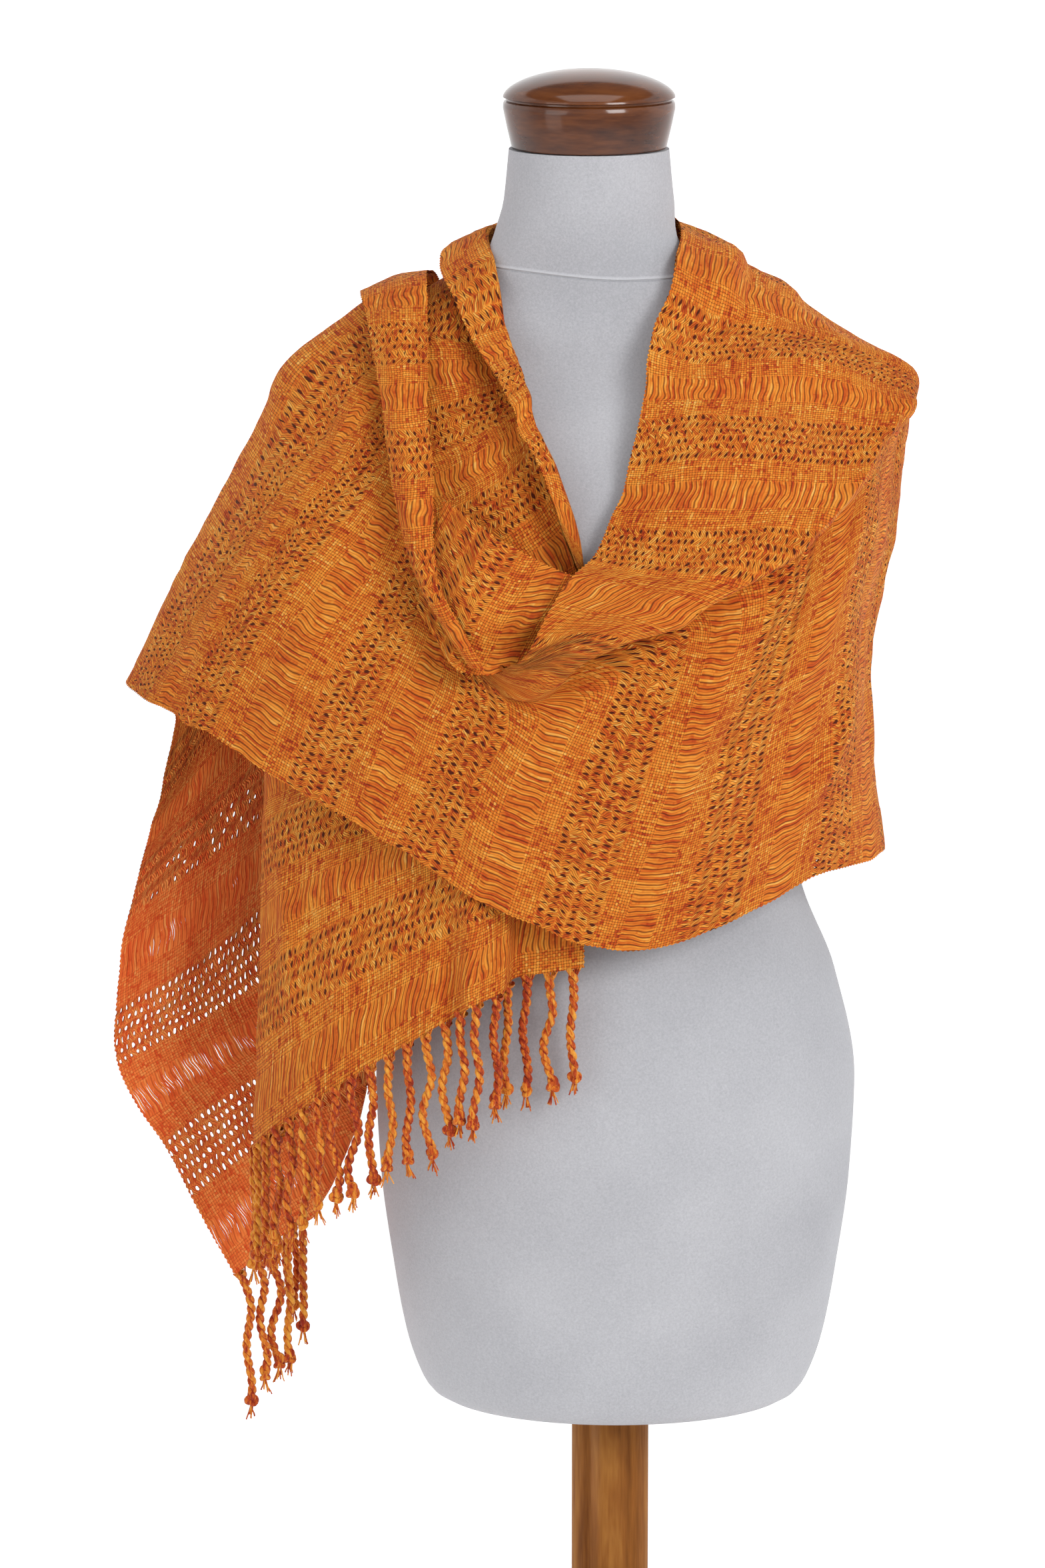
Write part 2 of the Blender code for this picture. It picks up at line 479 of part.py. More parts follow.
def main():
    for item in list(bpy.data.objects):
        bpy.data.objects.remove(item, do_unlink=True)

    cloth = new_material("orange handwoven cloth", "D8762A", 0.9)
    cord = new_material("orange twisted cord", "D67A2C", 0.9)
    jersey = new_material("grey jersey", "CFCFD7", 0.85)
    dark_wood = new_material("polished brown wood", "6B3A22", 0.3)
    pale_wood = new_material("clear lacquered beech", "B98152", 0.45)

    shawl = Sheet(FRONT_END, BACK_NECK, CROSS_FRONT, BACK_END)
    along, grid = shawl.grid(CELL_LONG, CELL_WIDE)
    offsets = wall_offsets(grid, CLOTH_WALL)
    seams = (FRONT_END[-1][0], CROSS_FRONT[1][0], CROSS_FRONT[-1][0])
    names = ("shawl_front_end", "shawl_back_neck", "shawl_cross_front", "shawl_back_end")
    ends = [0, *(int(np.argmin(abs(along - seam))) for seam in seams), len(along) - 1]
    for k, name in enumerate(names):
        stretch = grid[ends[k]:ends[k + 1] + 1].copy()
        stretch_offsets = offsets[ends[k]:ends[k + 1] + 1]
        backward = out_of_edge(stretch, stretch_offsets, 0) * SEAM_GAP / 2
        forward = out_of_edge(stretch, stretch_offsets, len(stretch) - 1) * SEAM_GAP / 2
        if k > 0:
            stretch[0] -= backward
        if k < len(names) - 1:
            stretch[-1] -= forward
        wall(name, stretch, stretch_offsets, cloth)
    for name, table, seat, thickness in (
        ("shawl_swag", SWAG, SWAG_SEAT, CLOTH_WALL),
        ("shawl_shoulder_pleat", SHOULDER_PLEAT, PLEAT_SEAT, PLEAT_WALL),
    ):
        overlay = Sheet(table).grid(CELL_LONG, CELL_WIDE / 2)[1] + np.array(seat)
        wall(name, overlay, wall_offsets(overlay, thickness), cloth)

    for name, row, length in (
        ("fringe_front", 0, FRONT_STRAND_LENGTH), ("fringe_back", len(grid) - 1, BACK_STRAND_LENGTH),
    ):
        fringe(name, grid[row], out_of_edge(grid, offsets, row), offsets[row], length, cord)

    torso(jersey)
    turned("neck_cap", neck_cap_profile(), NECK_X, TURNED_SIDES, dark_wood)
    pole = [(POLE_RADIUS, BASE_HEIGHT + SEAM_GAP), (POLE_RADIUS, TORSO_BOTTOM - SEAM_GAP)]
    turned("stand_pole", pole, 0.0, POLE_SIDES, pale_wood)
    turned("stand_base", base_profile(), 0.0, TURNED_SIDES, pale_wood)


main()
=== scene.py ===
"""A handwoven openwork shawl with a knotted fringe, on a limbless jersey-covered dress form.

Everything is in metres in the frame of the part: +Z up, the form facing -Y, left and right as the viewer sees
them. The cloth is one surface over its length and width, drawn from the same tables as its solids, and creased.
The length also places the weave: bands of eyelets, plain weave and bare warp repeat every 100 mm.
"""

import math
from functools import partial

import bpy
import numpy as np
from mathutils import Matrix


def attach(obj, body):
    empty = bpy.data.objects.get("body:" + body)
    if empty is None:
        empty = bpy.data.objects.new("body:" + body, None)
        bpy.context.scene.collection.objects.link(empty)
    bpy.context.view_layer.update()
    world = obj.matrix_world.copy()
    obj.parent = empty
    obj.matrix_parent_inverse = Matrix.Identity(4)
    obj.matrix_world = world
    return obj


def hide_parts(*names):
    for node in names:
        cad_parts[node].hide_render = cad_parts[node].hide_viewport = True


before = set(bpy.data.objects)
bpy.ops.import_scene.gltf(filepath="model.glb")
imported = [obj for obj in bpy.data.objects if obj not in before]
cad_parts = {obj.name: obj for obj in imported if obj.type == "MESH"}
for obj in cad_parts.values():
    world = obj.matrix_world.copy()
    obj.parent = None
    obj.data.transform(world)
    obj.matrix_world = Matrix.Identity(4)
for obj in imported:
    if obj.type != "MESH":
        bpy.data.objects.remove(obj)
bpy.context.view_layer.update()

MM = 0.001
DOWN = np.array([0.0, 0.0, -1.0])

# Camera: the photograph's viewpoint
CAMERA_PLACE = (-0.063, -4.509, 2.006)
CAMERA_PITCH = 11.4  # degrees below the horizon
FIELD_OF_VIEW = 13.7  # degrees, over the height of the picture

# Cloth
CLOTH_WALL = 0.0013
PLEAT_WALL = 0.0022
CLOTH_CELL = 0.0036  # size of a facet of the finished cloth
PLEAT_SEAT = (0, 0, -0.0022)
SWAG_SEAT = (0, -0.0030, 0)
SCALLOP_FADE = 0.03  # from a selvedge inwards

# Weave
BAND_REPEAT = 0.100
FIRST_EYELETS = 0.0765  # from the fringed end to the middle of the first band of eyelets
EYELET_BAND = 0.043
EYELET_ROWS = 6
EYELET_PITCH = 0.0050  # across the cloth
BARE_WARP_BAND = 0.022
WARP_PITCH = 0.0019  # drawn coarser than the real 1.7 mm, to show in the picture
WEFT_PITCH = 0.0019  # likewise, for a real 1.6 mm
EDGE_LOOP = 0.0036  # of weft at a selvedge
PLEAT_EYELETS = 0.157  # along the pleat, at the middle of a band of eyelets
COLLAR_WIDTH = 0.45  # of the weave at the collar, where yarns run along it
FOLD_COLUMN = 4  # of the shawl's tables, up to which they do
GATHERED_FROM = 1.30  # along the shawl, where the collar side starts to run into the roll

# Fringe
STRAND_PITCH = 0.0160
STRAND_CLEAR = 0.0095  # the least between two strands, seen from above
HEM_MARGIN = 0.0036  # without strands, at the end of a hem
FRONT_STRAND_LENGTH = 0.092
BACK_STRAND_LENGTH = 0.106
STRAND_RINGS = 64
STRAND_BEND = 0.030  # along a strand, until it hangs straight down
TWIST_LENGTH = 0.0135  # of one turn of the two plies
PLY_RADIUS = 0.00185
PLY_REACH = 0.00155  # from the middle of the strand to the middle of a ply
HEM_YARNS = 6
HEM_YARN_PITCH = 0.0022
YARN_RADIUS = 0.00062
KNOT_SIZE = 0.00125
KNOT_RADIUS = 0.00190
TUFT_LENGTH = 0.012
TUFT_HAIRS = 9
HAIR_RADIUS = 0.00050
FRINGE_SEED = 11
SEAM_GAP = 0.0003

# Form and stand
NECK_X = -0.017
NECK_TOP = 1.5450
TORSO_BOTTOM = 0.6540
TORSO_CELL = 0.006  # height of a facet of the form
CAP_TOP = 1.600
CAP_RADIUS = 0.0597
CAP_FOOT_RADIUS = 0.0540
CAP_GROOVE = 1.5793
POLE_RADIUS = 0.0275
BASE_RADIUS = 0.180
BASE_HEIGHT = 0.030
BASE_ROUNDING = 0.006

# Studio
STUDIO_RADIUS = 15.0
STUDIO_BEND = 3.0
STUDIO_HEIGHT = 14.0

# The first row of a table names its columns. Lengths are metres along the shawl. Points are (x, y, z) in mm.

FRONT_END = (
    ("length", "turned selvedge", "neckline", "under the turn", "collar", "chest", "armhole", "side",
     "outer fold", "outer edge"),
    (0.0000, (-19, -132, 995), (-44, -131, 991), (-68, -131, 987), (-77, -147, 980), (-94, -151, 973),
     (-130, -141, 950), (-208, -110, 894), (-254, -52, 847), (-226, -12, 845)),
    (0.0900, (-17, -130, 1092), (-34, -129, 1087), (-58, -128, 1082), (-69, -138, 1074), (-91, -141, 1064),
     (-134, -131, 1044), (-207, -102, 1003), (-248, -48, 961), (-225, -5, 956)),
    (0.2000, (-5, -136, 1196), (-14, -131, 1187), (-31, -128, 1176), (-56, -130, 1165), (-92, -130, 1154),
     (-143, -116, 1132), (-203, -90, 1108), (-243, -42, 1080), (-225, 5, 1065)),
    (0.3150, (-40, -137, 1310), (-22, -131, 1282), (-33, -123, 1270), (-60, -127, 1256), (-101, -122, 1238),
     (-152, -102, 1216), (-203, -76, 1190), (-244, -36, 1164), (-225, 10, 1150)),
    (0.3750, (-58, -122, 1348), (-47, -115, 1355), (-54, -105, 1334), (-80, -113, 1310), (-119, -106, 1286),
     (-166, -88, 1264), (-210, -64, 1239), (-244, -30, 1212), (-225, 15, 1202)),
    (0.4720, (-78, -99, 1391), (-62, -91, 1400), (-73, -82, 1380), (-101, -84, 1366), (-136, -78, 1348),
     (-175, -66, 1333), (-211, -48, 1309), (-239, -22, 1284), (-224, 18, 1273)),
    (0.5550, (-99, -69, 1421), (-73, -63, 1429), (-87, -56, 1414), (-116, -53, 1417), (-147, -46, 1413),
     (-175, -38, 1400), (-206, -26, 1377), (-229, -12, 1353), (-224, 20, 1341)),
    (0.5875, (-113, -34, 1450), (-82, -30, 1470), (-94, -25, 1454), (-119, -20, 1442), (-148, -14, 1428),
     (-175, -10, 1413), (-204, -6, 1393), (-226, 0, 1370), (-226, 24, 1355)),
    (0.6200, (-121, 4, 1464), (-87, 8, 1484), (-100, 16, 1465), (-122, 16, 1450), (-149, 18, 1434),
     (-174, 18, 1420), (-200, 16, 1403), (-219, 16, 1382), (-221, 37, 1356)),
)

BACK_NECK = (
    ("length", "standing selvedge", "neckline", "nape", "yoke", "shoulder blade", "back", "lower back",
     "above the hem", "hem"),
    (0.6550, (-114, 34, 1474), (-84, 23, 1489), (-95, 31, 1468), (-114, 35, 1450), (-141, 39, 1427),
     (-167, 42, 1402), (-189, 45, 1372), (-204, 45, 1345), (-211, 54, 1316)),
    (0.6900, (-99, 54, 1479), (-79, 39, 1488), (-88, 44, 1469), (-106, 50, 1447), (-132, 56, 1412),
     (-158, 66, 1372), (-174, 70, 1330), (-180, 70, 1290), (-184, 66, 1250)),
    (0.7700, (-64, 78, 1488), (-56, 62, 1486), (-64, 68, 1470), (-82, 75, 1442), (-104, 85, 1402),
     (-124, 100, 1345), (-134, 108, 1270), (-138, 109, 1195), (-140, 108, 1120)),
    (0.8600, (-17, 74, 1499), (-17, 66, 1486), (-17, 71, 1471), (-15, 83, 1442), (-12, 102, 1395),
     (-8, 118, 1320), (-4, 125, 1230), (-1, 127, 1125), (2, 126, 1020)),
    (0.9300, (27, 54, 1500), (28, 56, 1488), (37, 62, 1474), (66, 72, 1446), (98, 88, 1405),
     (120, 106, 1340), (132, 112, 1250), (140, 108, 1150), (148, 102, 1035)),
)

CROSS_FRONT = (
    ("length", "collar edge", "inside the edge", "lapel", "roll top", "roll nose", "tuck", "belly",
     "lower belly", "hem"),
    (0.9965, (46, 8, 1490), (55, 10, 1485), (94, 12, 1462), (154, 15, 1420), (211, 22, 1385),
     (206, 30, 1347), (198, 38, 1269), (181, 42, 1165), (193, 40, 1047)),
    (1.0365, (42, -43, 1470), (50, -42, 1466), (82, -34, 1448), (138, -20, 1424), (212, 0, 1384),
     (204, 10, 1347), (197, 18, 1274), (180, 22, 1172), (193, 20, 1048)),
    (1.0765, (28, -68, 1432), (36, -68, 1428), (62, -64, 1417), (119, -46, 1415), (211, -18, 1377),
     (199, -8, 1343), (194, 0, 1276), (178, 2, 1178), (193, 0, 1049)),
    (1.1765, (12, -106, 1355), (20, -108, 1355), (60, -113, 1362), (132, -97, 1354), (191, -62, 1344),
     (181, -54, 1331), (175, -68, 1296), (164, -78, 1202), (152, -75, 1051)),
    (1.2765, (-10, -134, 1291), (-2, -138, 1289), (50, -152, 1286), (90, -152, 1289), (123, -141, 1281),
     (124, -118, 1292), (121, -126, 1260), (94, -138, 1173), (64, -135, 1020)),
    (1.3265, (-35, -157, 1266), (-27, -159, 1264), (3, -168, 1257), (30, -174, 1252), (50, -170, 1245),
     (55, -140, 1264), (75, -146, 1240), (53, -155, 1150), (11, -150, 1010)),
    (1.3765, (-68, -176, 1215), (-62, -178, 1215), (-50, -182, 1221), (-32, -184, 1226), (-13, -179, 1220),
     (-5, -146, 1238), (30, -154, 1221), (-1, -160, 1135), (-37, -155, 1022)),
    (1.4265, (-86, -153, 1209), (-84, -154, 1206), (-79, -156, 1201), (-70, -158, 1195), (-60, -160, 1188),
     (-47, -154, 1187), (-36, -160, 1178), (-58, -160, 1128), (-85, -152, 1041)),
    (1.4765, (-106, -140, 1222), (-104, -142, 1218), (-100, -145, 1212), (-95, -147, 1203), (-92, -150, 1194),
     (-92, -152, 1182), (-97, -154, 1166), (-112, -152, 1126), (-134, -146, 1071)),
    (1.5765, (-133, -116, 1294), (-134, -118, 1285), (-136, -121, 1274), (-142, -126, 1259),
     (-151, -130, 1239), (-162, -132, 1219), (-174, -133, 1198), (-190, -131, 1163), (-208, -122, 1111)),
    (1.6765, (-152, -76, 1376), (-155, -80, 1368), (-159, -84, 1358), (-170, -91, 1342), (-183, -95, 1325),
     (-203, -97, 1303), (-226, -96, 1271), (-257, -88, 1223), (-293, -72, 1153)),
    (1.7765, (-156, -32, 1429), (-160, -36, 1423), (-166, -40, 1414), (-184, -50, 1394), (-203, -56, 1366),
     (-226, -57, 1336), (-251, -53, 1298), (-287, -42, 1243), (-332, -24, 1165)),
    (1.8165, (-160, 8, 1447), (-166, 8, 1443), (-174, 6, 1437), (-205, 4, 1415), (-233, 2, 1391),
     (-245, 4, 1360), (-264, 4, 1321), (-293, 4, 1268), (-342, 2, 1169)),
)

BACK_END = (
    ("length", "upper edge", "inside the edge", "shoulder blade", "rear fold", "under the rear fold",
     "inner fold", "sheet", "outer sheet", "lower edge"),
    (1.8765, (-102, 84, 1436), (-110, 85, 1433), (-132, 82, 1419), (-166, 75, 1393), (-206, 64, 1354),
     (-242, 56, 1301), (-285, 47, 1215), (-305, 45, 1180), (-323, 45, 1148)),
    (1.9265, (-84, 116, 1382), (-97, 118, 1375), (-123, 116, 1355), (-165, 106, 1322), (-208, 84, 1275),
     (-248, 64, 1228), (-283, 50, 1175), (-300, 48, 1152), (-310, 47, 1134)),
    (1.9765, (-78, 132, 1322), (-95, 133, 1315), (-125, 128, 1292), (-168, 110, 1258), (-212, 82, 1215),
     (-254, 62, 1172), (-292, 48, 1127), (-306, 44, 1107), (-319, 41, 1090)),
    (2.0765, (-84, 141, 1212), (-104, 141, 1205), (-136, 134, 1180), (-177, 111, 1145), (-220, 81, 1108),
     (-255, 62, 1079), (-300, 46, 1045), (-322, 40, 1028), (-340, 36, 1012)),
    (2.1265, (-90, 145, 1160), (-109, 145, 1153), (-139, 137, 1129), (-175, 115, 1095), (-212, 87, 1058),
     (-250, 64, 1026), (-307, 45, 985), (-332, 38, 970), (-351, 33, 958)),
    (2.1765, (-100, 150, 1105), (-118, 150, 1100), (-144, 142, 1078), (-168, 124, 1048), (-195, 102, 1018),
     (-230, 75, 984), (-294, 47, 936), (-330, 37, 917), (-357, 30, 904)),
    (2.2765, (-128, 148, 1010), (-143, 147, 1004), (-185, 138, 982), (-226, 120, 950), (-214, 99, 914),
     (-172, 64, 886), (-222, 54, 869), (-268, 42, 841), (-312, 30, 808)),
    (2.3150, (-148, 145, 972), (-166, 142, 964), (-206, 129, 942), (-244, 112, 910), (-230, 91, 868),
     (-182, 58, 834), (-226, 48, 814), (-260, 38, 792), (-291, 28, 769)),
    (2.3530, (-160, 142, 940), (-178, 137, 930), (-212, 124, 907), (-250, 108, 870), (-240, 87, 820),
     (-212, 54, 771), (-230, 46, 760), (-249, 37, 747), (-269, 28, 731)),
)

# The swag lies between the lapel and the front end, below the neckline. Its lengths run along its fold.
SWAG = (
    ("length", "top fold", "upper face", "lower face", "bottom fold", "tuck"),
    (0.000, (-25, -143, 1270), (-32, -148, 1249), (-37, -151, 1237), (-40, -147, 1227), (-44, -152, 1213)),
    (0.022, (-41, -140, 1275), (-49, -147, 1254), (-57, -152, 1238), (-61, -148, 1224), (-66, -155, 1209)),
    (0.046, (-61, -138, 1285), (-70, -153, 1262), (-80, -162, 1238), (-84, -158, 1218), (-88, -166, 1205)),
    (0.068, (-82, -137, 1296), (-90, -153, 1273), (-100, -165, 1243), (-105, -162, 1222), (-108, -169, 1209)),
    (0.088, (-100, -131, 1310), (-106, -140, 1288), (-114, -150, 1262), (-120, -150, 1241),
     (-122, -156, 1229)),
    (0.104, (-116, -124, 1319), (-121, -128, 1300), (-127, -136, 1278), (-133, -139, 1258),
     (-135, -144, 1247)),
)

# The pleat climbs from the swag over the left shoulder and opens out down the back.
SHOULDER_PLEAT = (
    ("length", "outer fold", "outer face", "inner face", "inner edge"),
    (0.000, (-99, -172, 1214), (-95, -176, 1214), (-92, -177, 1214), (-88, -175, 1213)),
    (0.030, (-115, -163, 1239), (-112, -170, 1239), (-108, -171, 1240), (-105, -168, 1242)),
    (0.062, (-132, -150, 1265), (-128, -158, 1266), (-124, -159, 1267), (-119, -155, 1269)),
    (0.100, (-145, -136, 1301), (-138, -146, 1302), (-131, -146, 1303), (-124, -140, 1303)),
    (0.145, (-153, -115, 1340), (-144, -125, 1340), (-134, -125, 1341), (-124, -117, 1341)),
    (0.190, (-158, -92, 1377), (-148, -102, 1378), (-138, -102, 1379), (-128, -94, 1380)),
    (0.235, (-165, -66, 1411), (-152, -76, 1413), (-140, -76, 1414), (-128, -68, 1411)),
    (0.275, (-170, -40, 1435), (-156, -48, 1439), (-142, -48, 1441), (-128, -42, 1441)),
    (0.320, (-176, -2, 1447), (-161, -3, 1454), (-145, -3, 1458), (-129, -2, 1460)),
    (0.370, (-170, 50, 1438), (-155, 55, 1449), (-139, 58, 1454), (-124, 58, 1454)),
    (0.425, (-158, 99, 1399), (-143, 107, 1407), (-127, 111, 1411), (-112, 111, 1410)),
    (0.500, (-146, 131, 1328), (-131, 139, 1331), (-115, 144, 1333), (-101, 145, 1331)),
    (0.575, (-138, 138, 1254), (-124, 142, 1254), (-109, 147, 1254), (-96, 150, 1252)),
)

# Rings of the form from the underside to the neck, in metres
TORSO_RINGS = (
    ("height", "half width", "depth in front", "depth behind", "middle x"),
    (0.6540, 0.124, 0.090, 0.086, 0.003),
    (0.6580, 0.131, 0.096, 0.092, 0.003),
    (0.6680, 0.138, 0.102, 0.098, 0.003),
    (0.7000, 0.149, 0.109, 0.105, 0.003),
    (0.7500, 0.158, 0.115, 0.112, 0.003),
    (0.8200, 0.167, 0.120, 0.120, 0.003),
    (0.8870, 0.170, 0.122, 0.123, 0.003),
    (0.9650, 0.157, 0.115, 0.112, 0.001),
    (1.0200, 0.137, 0.103, 0.098, -0.001),
    (1.0900, 0.121, 0.092, 0.086, -0.003),
    (1.1600, 0.127, 0.103, 0.090, -0.005),
    (1.2300, 0.143, 0.119, 0.098, -0.007),
    (1.2700, 0.152, 0.1234, 0.102, -0.008),
    (1.3100, 0.160, 0.111, 0.105, -0.009),
    (1.3500, 0.173, 0.091, 0.102, -0.010),
    (1.3750, 0.188, 0.074, 0.090, -0.010),
    (1.3880, 0.189, 0.062, 0.077, -0.010),
    (1.4020, 0.172, 0.056, 0.070, -0.010),
    (1.4200, 0.147, 0.052, 0.065, -0.010),
    (1.4450, 0.097, 0.048, 0.060, -0.011),
    (1.4650, 0.0745, 0.049, 0.056, -0.0185),
    (1.4850, 0.0635, 0.052, 0.055, -0.0195),
    (1.5100, 0.059, 0.054, 0.055, -0.017),
    (1.5450, 0.0555, 0.0545, 0.0545, -0.017),
)

# Creases on the cloth. A start and an end, each a length along the shawl and a column of its table, then the
# width and height of the crease in millimetres. A trough has a negative height.
CREASES = (
    ("length", "column", "to length", "to column", "width", "height"),
    # the fold that runs down from the right shoulder's point to the roll
    (1.090, 3.92, 1.215, 3.72, 8, 8.0),
    (1.190, 3.78, 1.319, 3.58, 7, 7.5),
    (1.092, 4.36, 1.215, 4.08, 9, -7.5),
    (1.190, 4.14, 1.330, 3.94, 8, -6.0),
    (1.319, 3.60, 1.385, 4.10, 8, 3.0),
    # across the front, from the right shoulder
    (0.935, 1.10, 1.050, 1.85, 12, 7.5),
    (0.945, 2.50, 1.040, 2.80, 9, 4.5),
    (0.940, 1.75, 1.062, 2.40, 5, -3.5),
    (1.045, 2.50, 1.072, 2.00, 5, -3.0),
    (1.010, 2.70, 1.070, 3.40, 12, 2.2),
    (1.090, 2.00, 1.110, 3.50, 14, 2.0),
    (1.120, 1.60, 1.150, 3.30, 12, -1.8),
    (1.175, 1.90, 1.190, 3.20, 10, 1.8),
    (1.215, 1.50, 1.250, 3.10, 9, -1.6),
    (1.140, 7.05, 1.227, 7.70, 13, 4.0),
    (1.100, 6.40, 1.190, 7.55, 11, -2.6),
    (1.060, 6.10, 1.110, 7.60, 10, 2.4),
    (1.190, 5.60, 1.255, 7.20, 12, 2.2),
    (1.250, 5.70, 1.310, 7.40, 12, -2.2),
    (1.310, 5.60, 1.350, 7.60, 11, 2.0),
    (1.390, 5.80, 1.400, 7.70, 10, -2.0),
    (1.440, 5.50, 1.445, 7.80, 12, 2.2),
    (1.480, 3.60, 1.500, 7.70, 11, -2.4),
    (1.530, 2.20, 1.545, 7.60, 13, 2.4),
    (1.575, 1.40, 1.590, 6.60, 10, -2.0),
    (1.620, 2.80, 1.630, 7.70, 12, 2.4),
    (1.665, 1.00, 1.680, 5.40, 9, -2.2),
    (1.710, 2.00, 1.720, 7.60, 11, 2.0),
    (1.755, 1.10, 1.765, 4.80, 9, -1.8),
    # front end
    (0.030, 6.20, 0.200, 6.55, 10, 3.0),
    (0.020, 5.40, 0.190, 5.60, 9, -2.6),
    (0.060, 4.20, 0.220, 4.60, 11, 2.2),
    (-0.03, 3.95, 0.080, 4.15, 7, 5.5),
    (-0.03, 4.50, 0.085, 4.60, 8, -4.0),
    (0.010, 3.30, 0.150, 3.50, 7, -2.4),
    (0.110, 7.20, 0.260, 7.30, 9, 1.8),
    (0.380, 2.60, 0.520, 3.05, 9, -2.6),
    (0.340, 3.60, 0.500, 4.20, 11, 2.2),
    (0.420, 1.60, 0.560, 2.20, 6, -2.0),
    # round the back of the neck
    (0.655, 2.60, 0.760, 5.20, 12, -3.0),
    (0.690, 2.30, 0.830, 4.90, 12, 2.6),
    (0.740, 5.40, 0.800, 7.80, 14, 2.6),
    (0.800, 3.20, 0.850, 7.40, 12, -2.8),
    (0.860, 2.60, 0.870, 6.20, 13, 2.4),
    (0.905, 3.00, 0.890, 7.60, 12, -2.6),
    (0.945, 2.60, 0.930, 6.80, 12, 2.8),
    (0.975, 3.60, 0.968, 7.70, 11, -2.4),
    # back end
    (1.860, 2.60, 1.990, 3.40, 9, -2.6),
    (1.850, 4.40, 1.960, 5.50, 10, 2.4),
    (1.900, 1.30, 2.060, 2.20, 10, 2.4),
    (2.000, 5.50, 2.130, 7.20, 12, -2.2),
    (2.060, 6.20, 2.180, 7.60, 12, 2.0),
    (2.090, 1.60, 2.280, 2.30, 11, -2.6),
    (2.140, 2.40, 2.330, 2.70, 9, 2.4),
    (2.200, 6.00, 2.330, 7.00, 10, -2.0),
)


def linear(colour):
    """An sRGB colour given as hex digits, as linear red, green, blue and full alpha."""
    channels = [int(colour[i:i + 2], 16) / 255 for i in (0, 2, 4)]
    return (*(c / 12.92 if c <= 0.04045 else ((c + 0.055) / 1.055) ** 2.4 for c in channels), 1.0)


# Shapes

def through(values, knots, at):
    """Cubics between the knots, in Hermite form, each slope the harmonic mean of its neighbours' or zero."""
    gaps = np.diff(knots).reshape((-1,) + (1,) * (values.ndim - 1))
    steps = np.diff(values, axis=0) / gaps
    before, after = steps[:-1], steps[1:]
    same_way = before * after > 0
    total = np.where(same_way, before + after, 1)
    inner = np.where(same_way, 2 * before * after / total, 0)
    slopes = np.concatenate([steps[:1], inner, steps[-1:]])
    cell = np.clip(np.searchsorted(knots, at, side="right") - 1, 0, len(knots) - 2)
    gap = gaps[cell]
    t = ((at - knots[cell]) / np.diff(knots)[cell]).reshape((-1,) + (1,) * (values.ndim - 1))
    return (
        (2 * t**3 - 3 * t**2 + 1) * values[cell] + (t**3 - 2 * t**2 + t) * gap * slopes[cell]
        + (3 * t**2 - 2 * t**3) * values[cell + 1] + (t**3 - t**2) * gap * slopes[cell + 1]
    )


def spread(knots, step):
    """Positions that include every knot, with about one step between them."""
    parts = [np.array(knots[:1])]
    for low, high in zip(knots, knots[1:]):
        count = max(1, round((high - low) / step))
        parts.append(np.linspace(low, high, count + 1)[1:])
    return np.concatenate(parts)


def unit(vectors):
    """Vectors of length one."""
    return vectors / np.maximum(np.linalg.norm(vectors, axis=-1, keepdims=True), 1e-9)


def soften(grid, times):
    """Each point moves to the mean of itself twice and its two neighbours, along, then across. Ends stay."""
    for _ in range(times):
        for axis in (0, 1):
            moved = np.moveaxis(grid, axis, 0).copy()
            moved[1:-1] = (moved[:-2] + 2 * moved[1:-1] + moved[2:]) / 4
            grid = np.moveaxis(moved, 0, axis)
    return grid


def normals(grid):
    """The cross product of the central differences along and across."""
    return unit(np.cross(np.gradient(grid, axis=0), np.gradient(grid, axis=1)))


def wander(along, across, size, seed):
    """Smooth noise from -1 to 1: random values on a square lattice of a given size, joined by smoothsteps."""
    rows, columns = 97, 89
    lattice = np.random.default_rng(seed).uniform(-1, 1, (rows, columns))
    x, y = along / size, across / size
    i, j = np.floor(x).astype(int), np.floor(y).astype(int)
    u, v = x - i, y - j
    u, v = u * u * (3 - 2 * u), v * v * (3 - 2 * v)
    corners = [[lattice[(i + a) % rows, (j + b) % columns] for b in (0, 1)] for a in (0, 1)]
    near = corners[0][0] * (1 - v) + corners[0][1] * v
    far = corners[1][0] * (1 - v) + corners[1][1] * v
    return near * (1 - u) + far * u


def new_piece(name, vertices, faces, material, smooth_angle=35, weave=None, attributes=None):
    """A mesh object at the origin, with rounded shading below an angle. The weave has a pair for each corner
    of each face, and an attribute a number for each vertex."""
    mesh = bpy.data.meshes.new(name)
    mesh.from_pydata(vertices.tolist(), [], faces)
    if weave is not None:
        mesh.uv_layers.new(name="Cloth").data.foreach_set("uv", weave.astype(np.float32).ravel())
    for key, values in (attributes or {}).items():
        mesh.attributes.new(key, "FLOAT", "POINT").data.foreach_set("value", values.astype(np.float32))
    mesh.materials.append(material)
    mesh.shade_smooth()
    mesh.set_sharp_from_angle(angle=math.radians(smooth_angle))
    piece = bpy.data.objects.new(name, mesh)
    bpy.context.scene.collection.objects.link(piece)
    return piece


def grid_faces(rows, columns, wrap=False):
    """Quads between neighbouring points of a grid whose points are numbered row by row."""
    i, j = np.meshgrid(np.arange(rows - 1), np.arange(columns if wrap else columns - 1), indexing="ij")
    near, far = i * columns, (i + 1) * columns
    after = (j + 1) % columns
    return np.stack([near + j, near + after, far + after, far + j], -1).reshape(-1, 4)


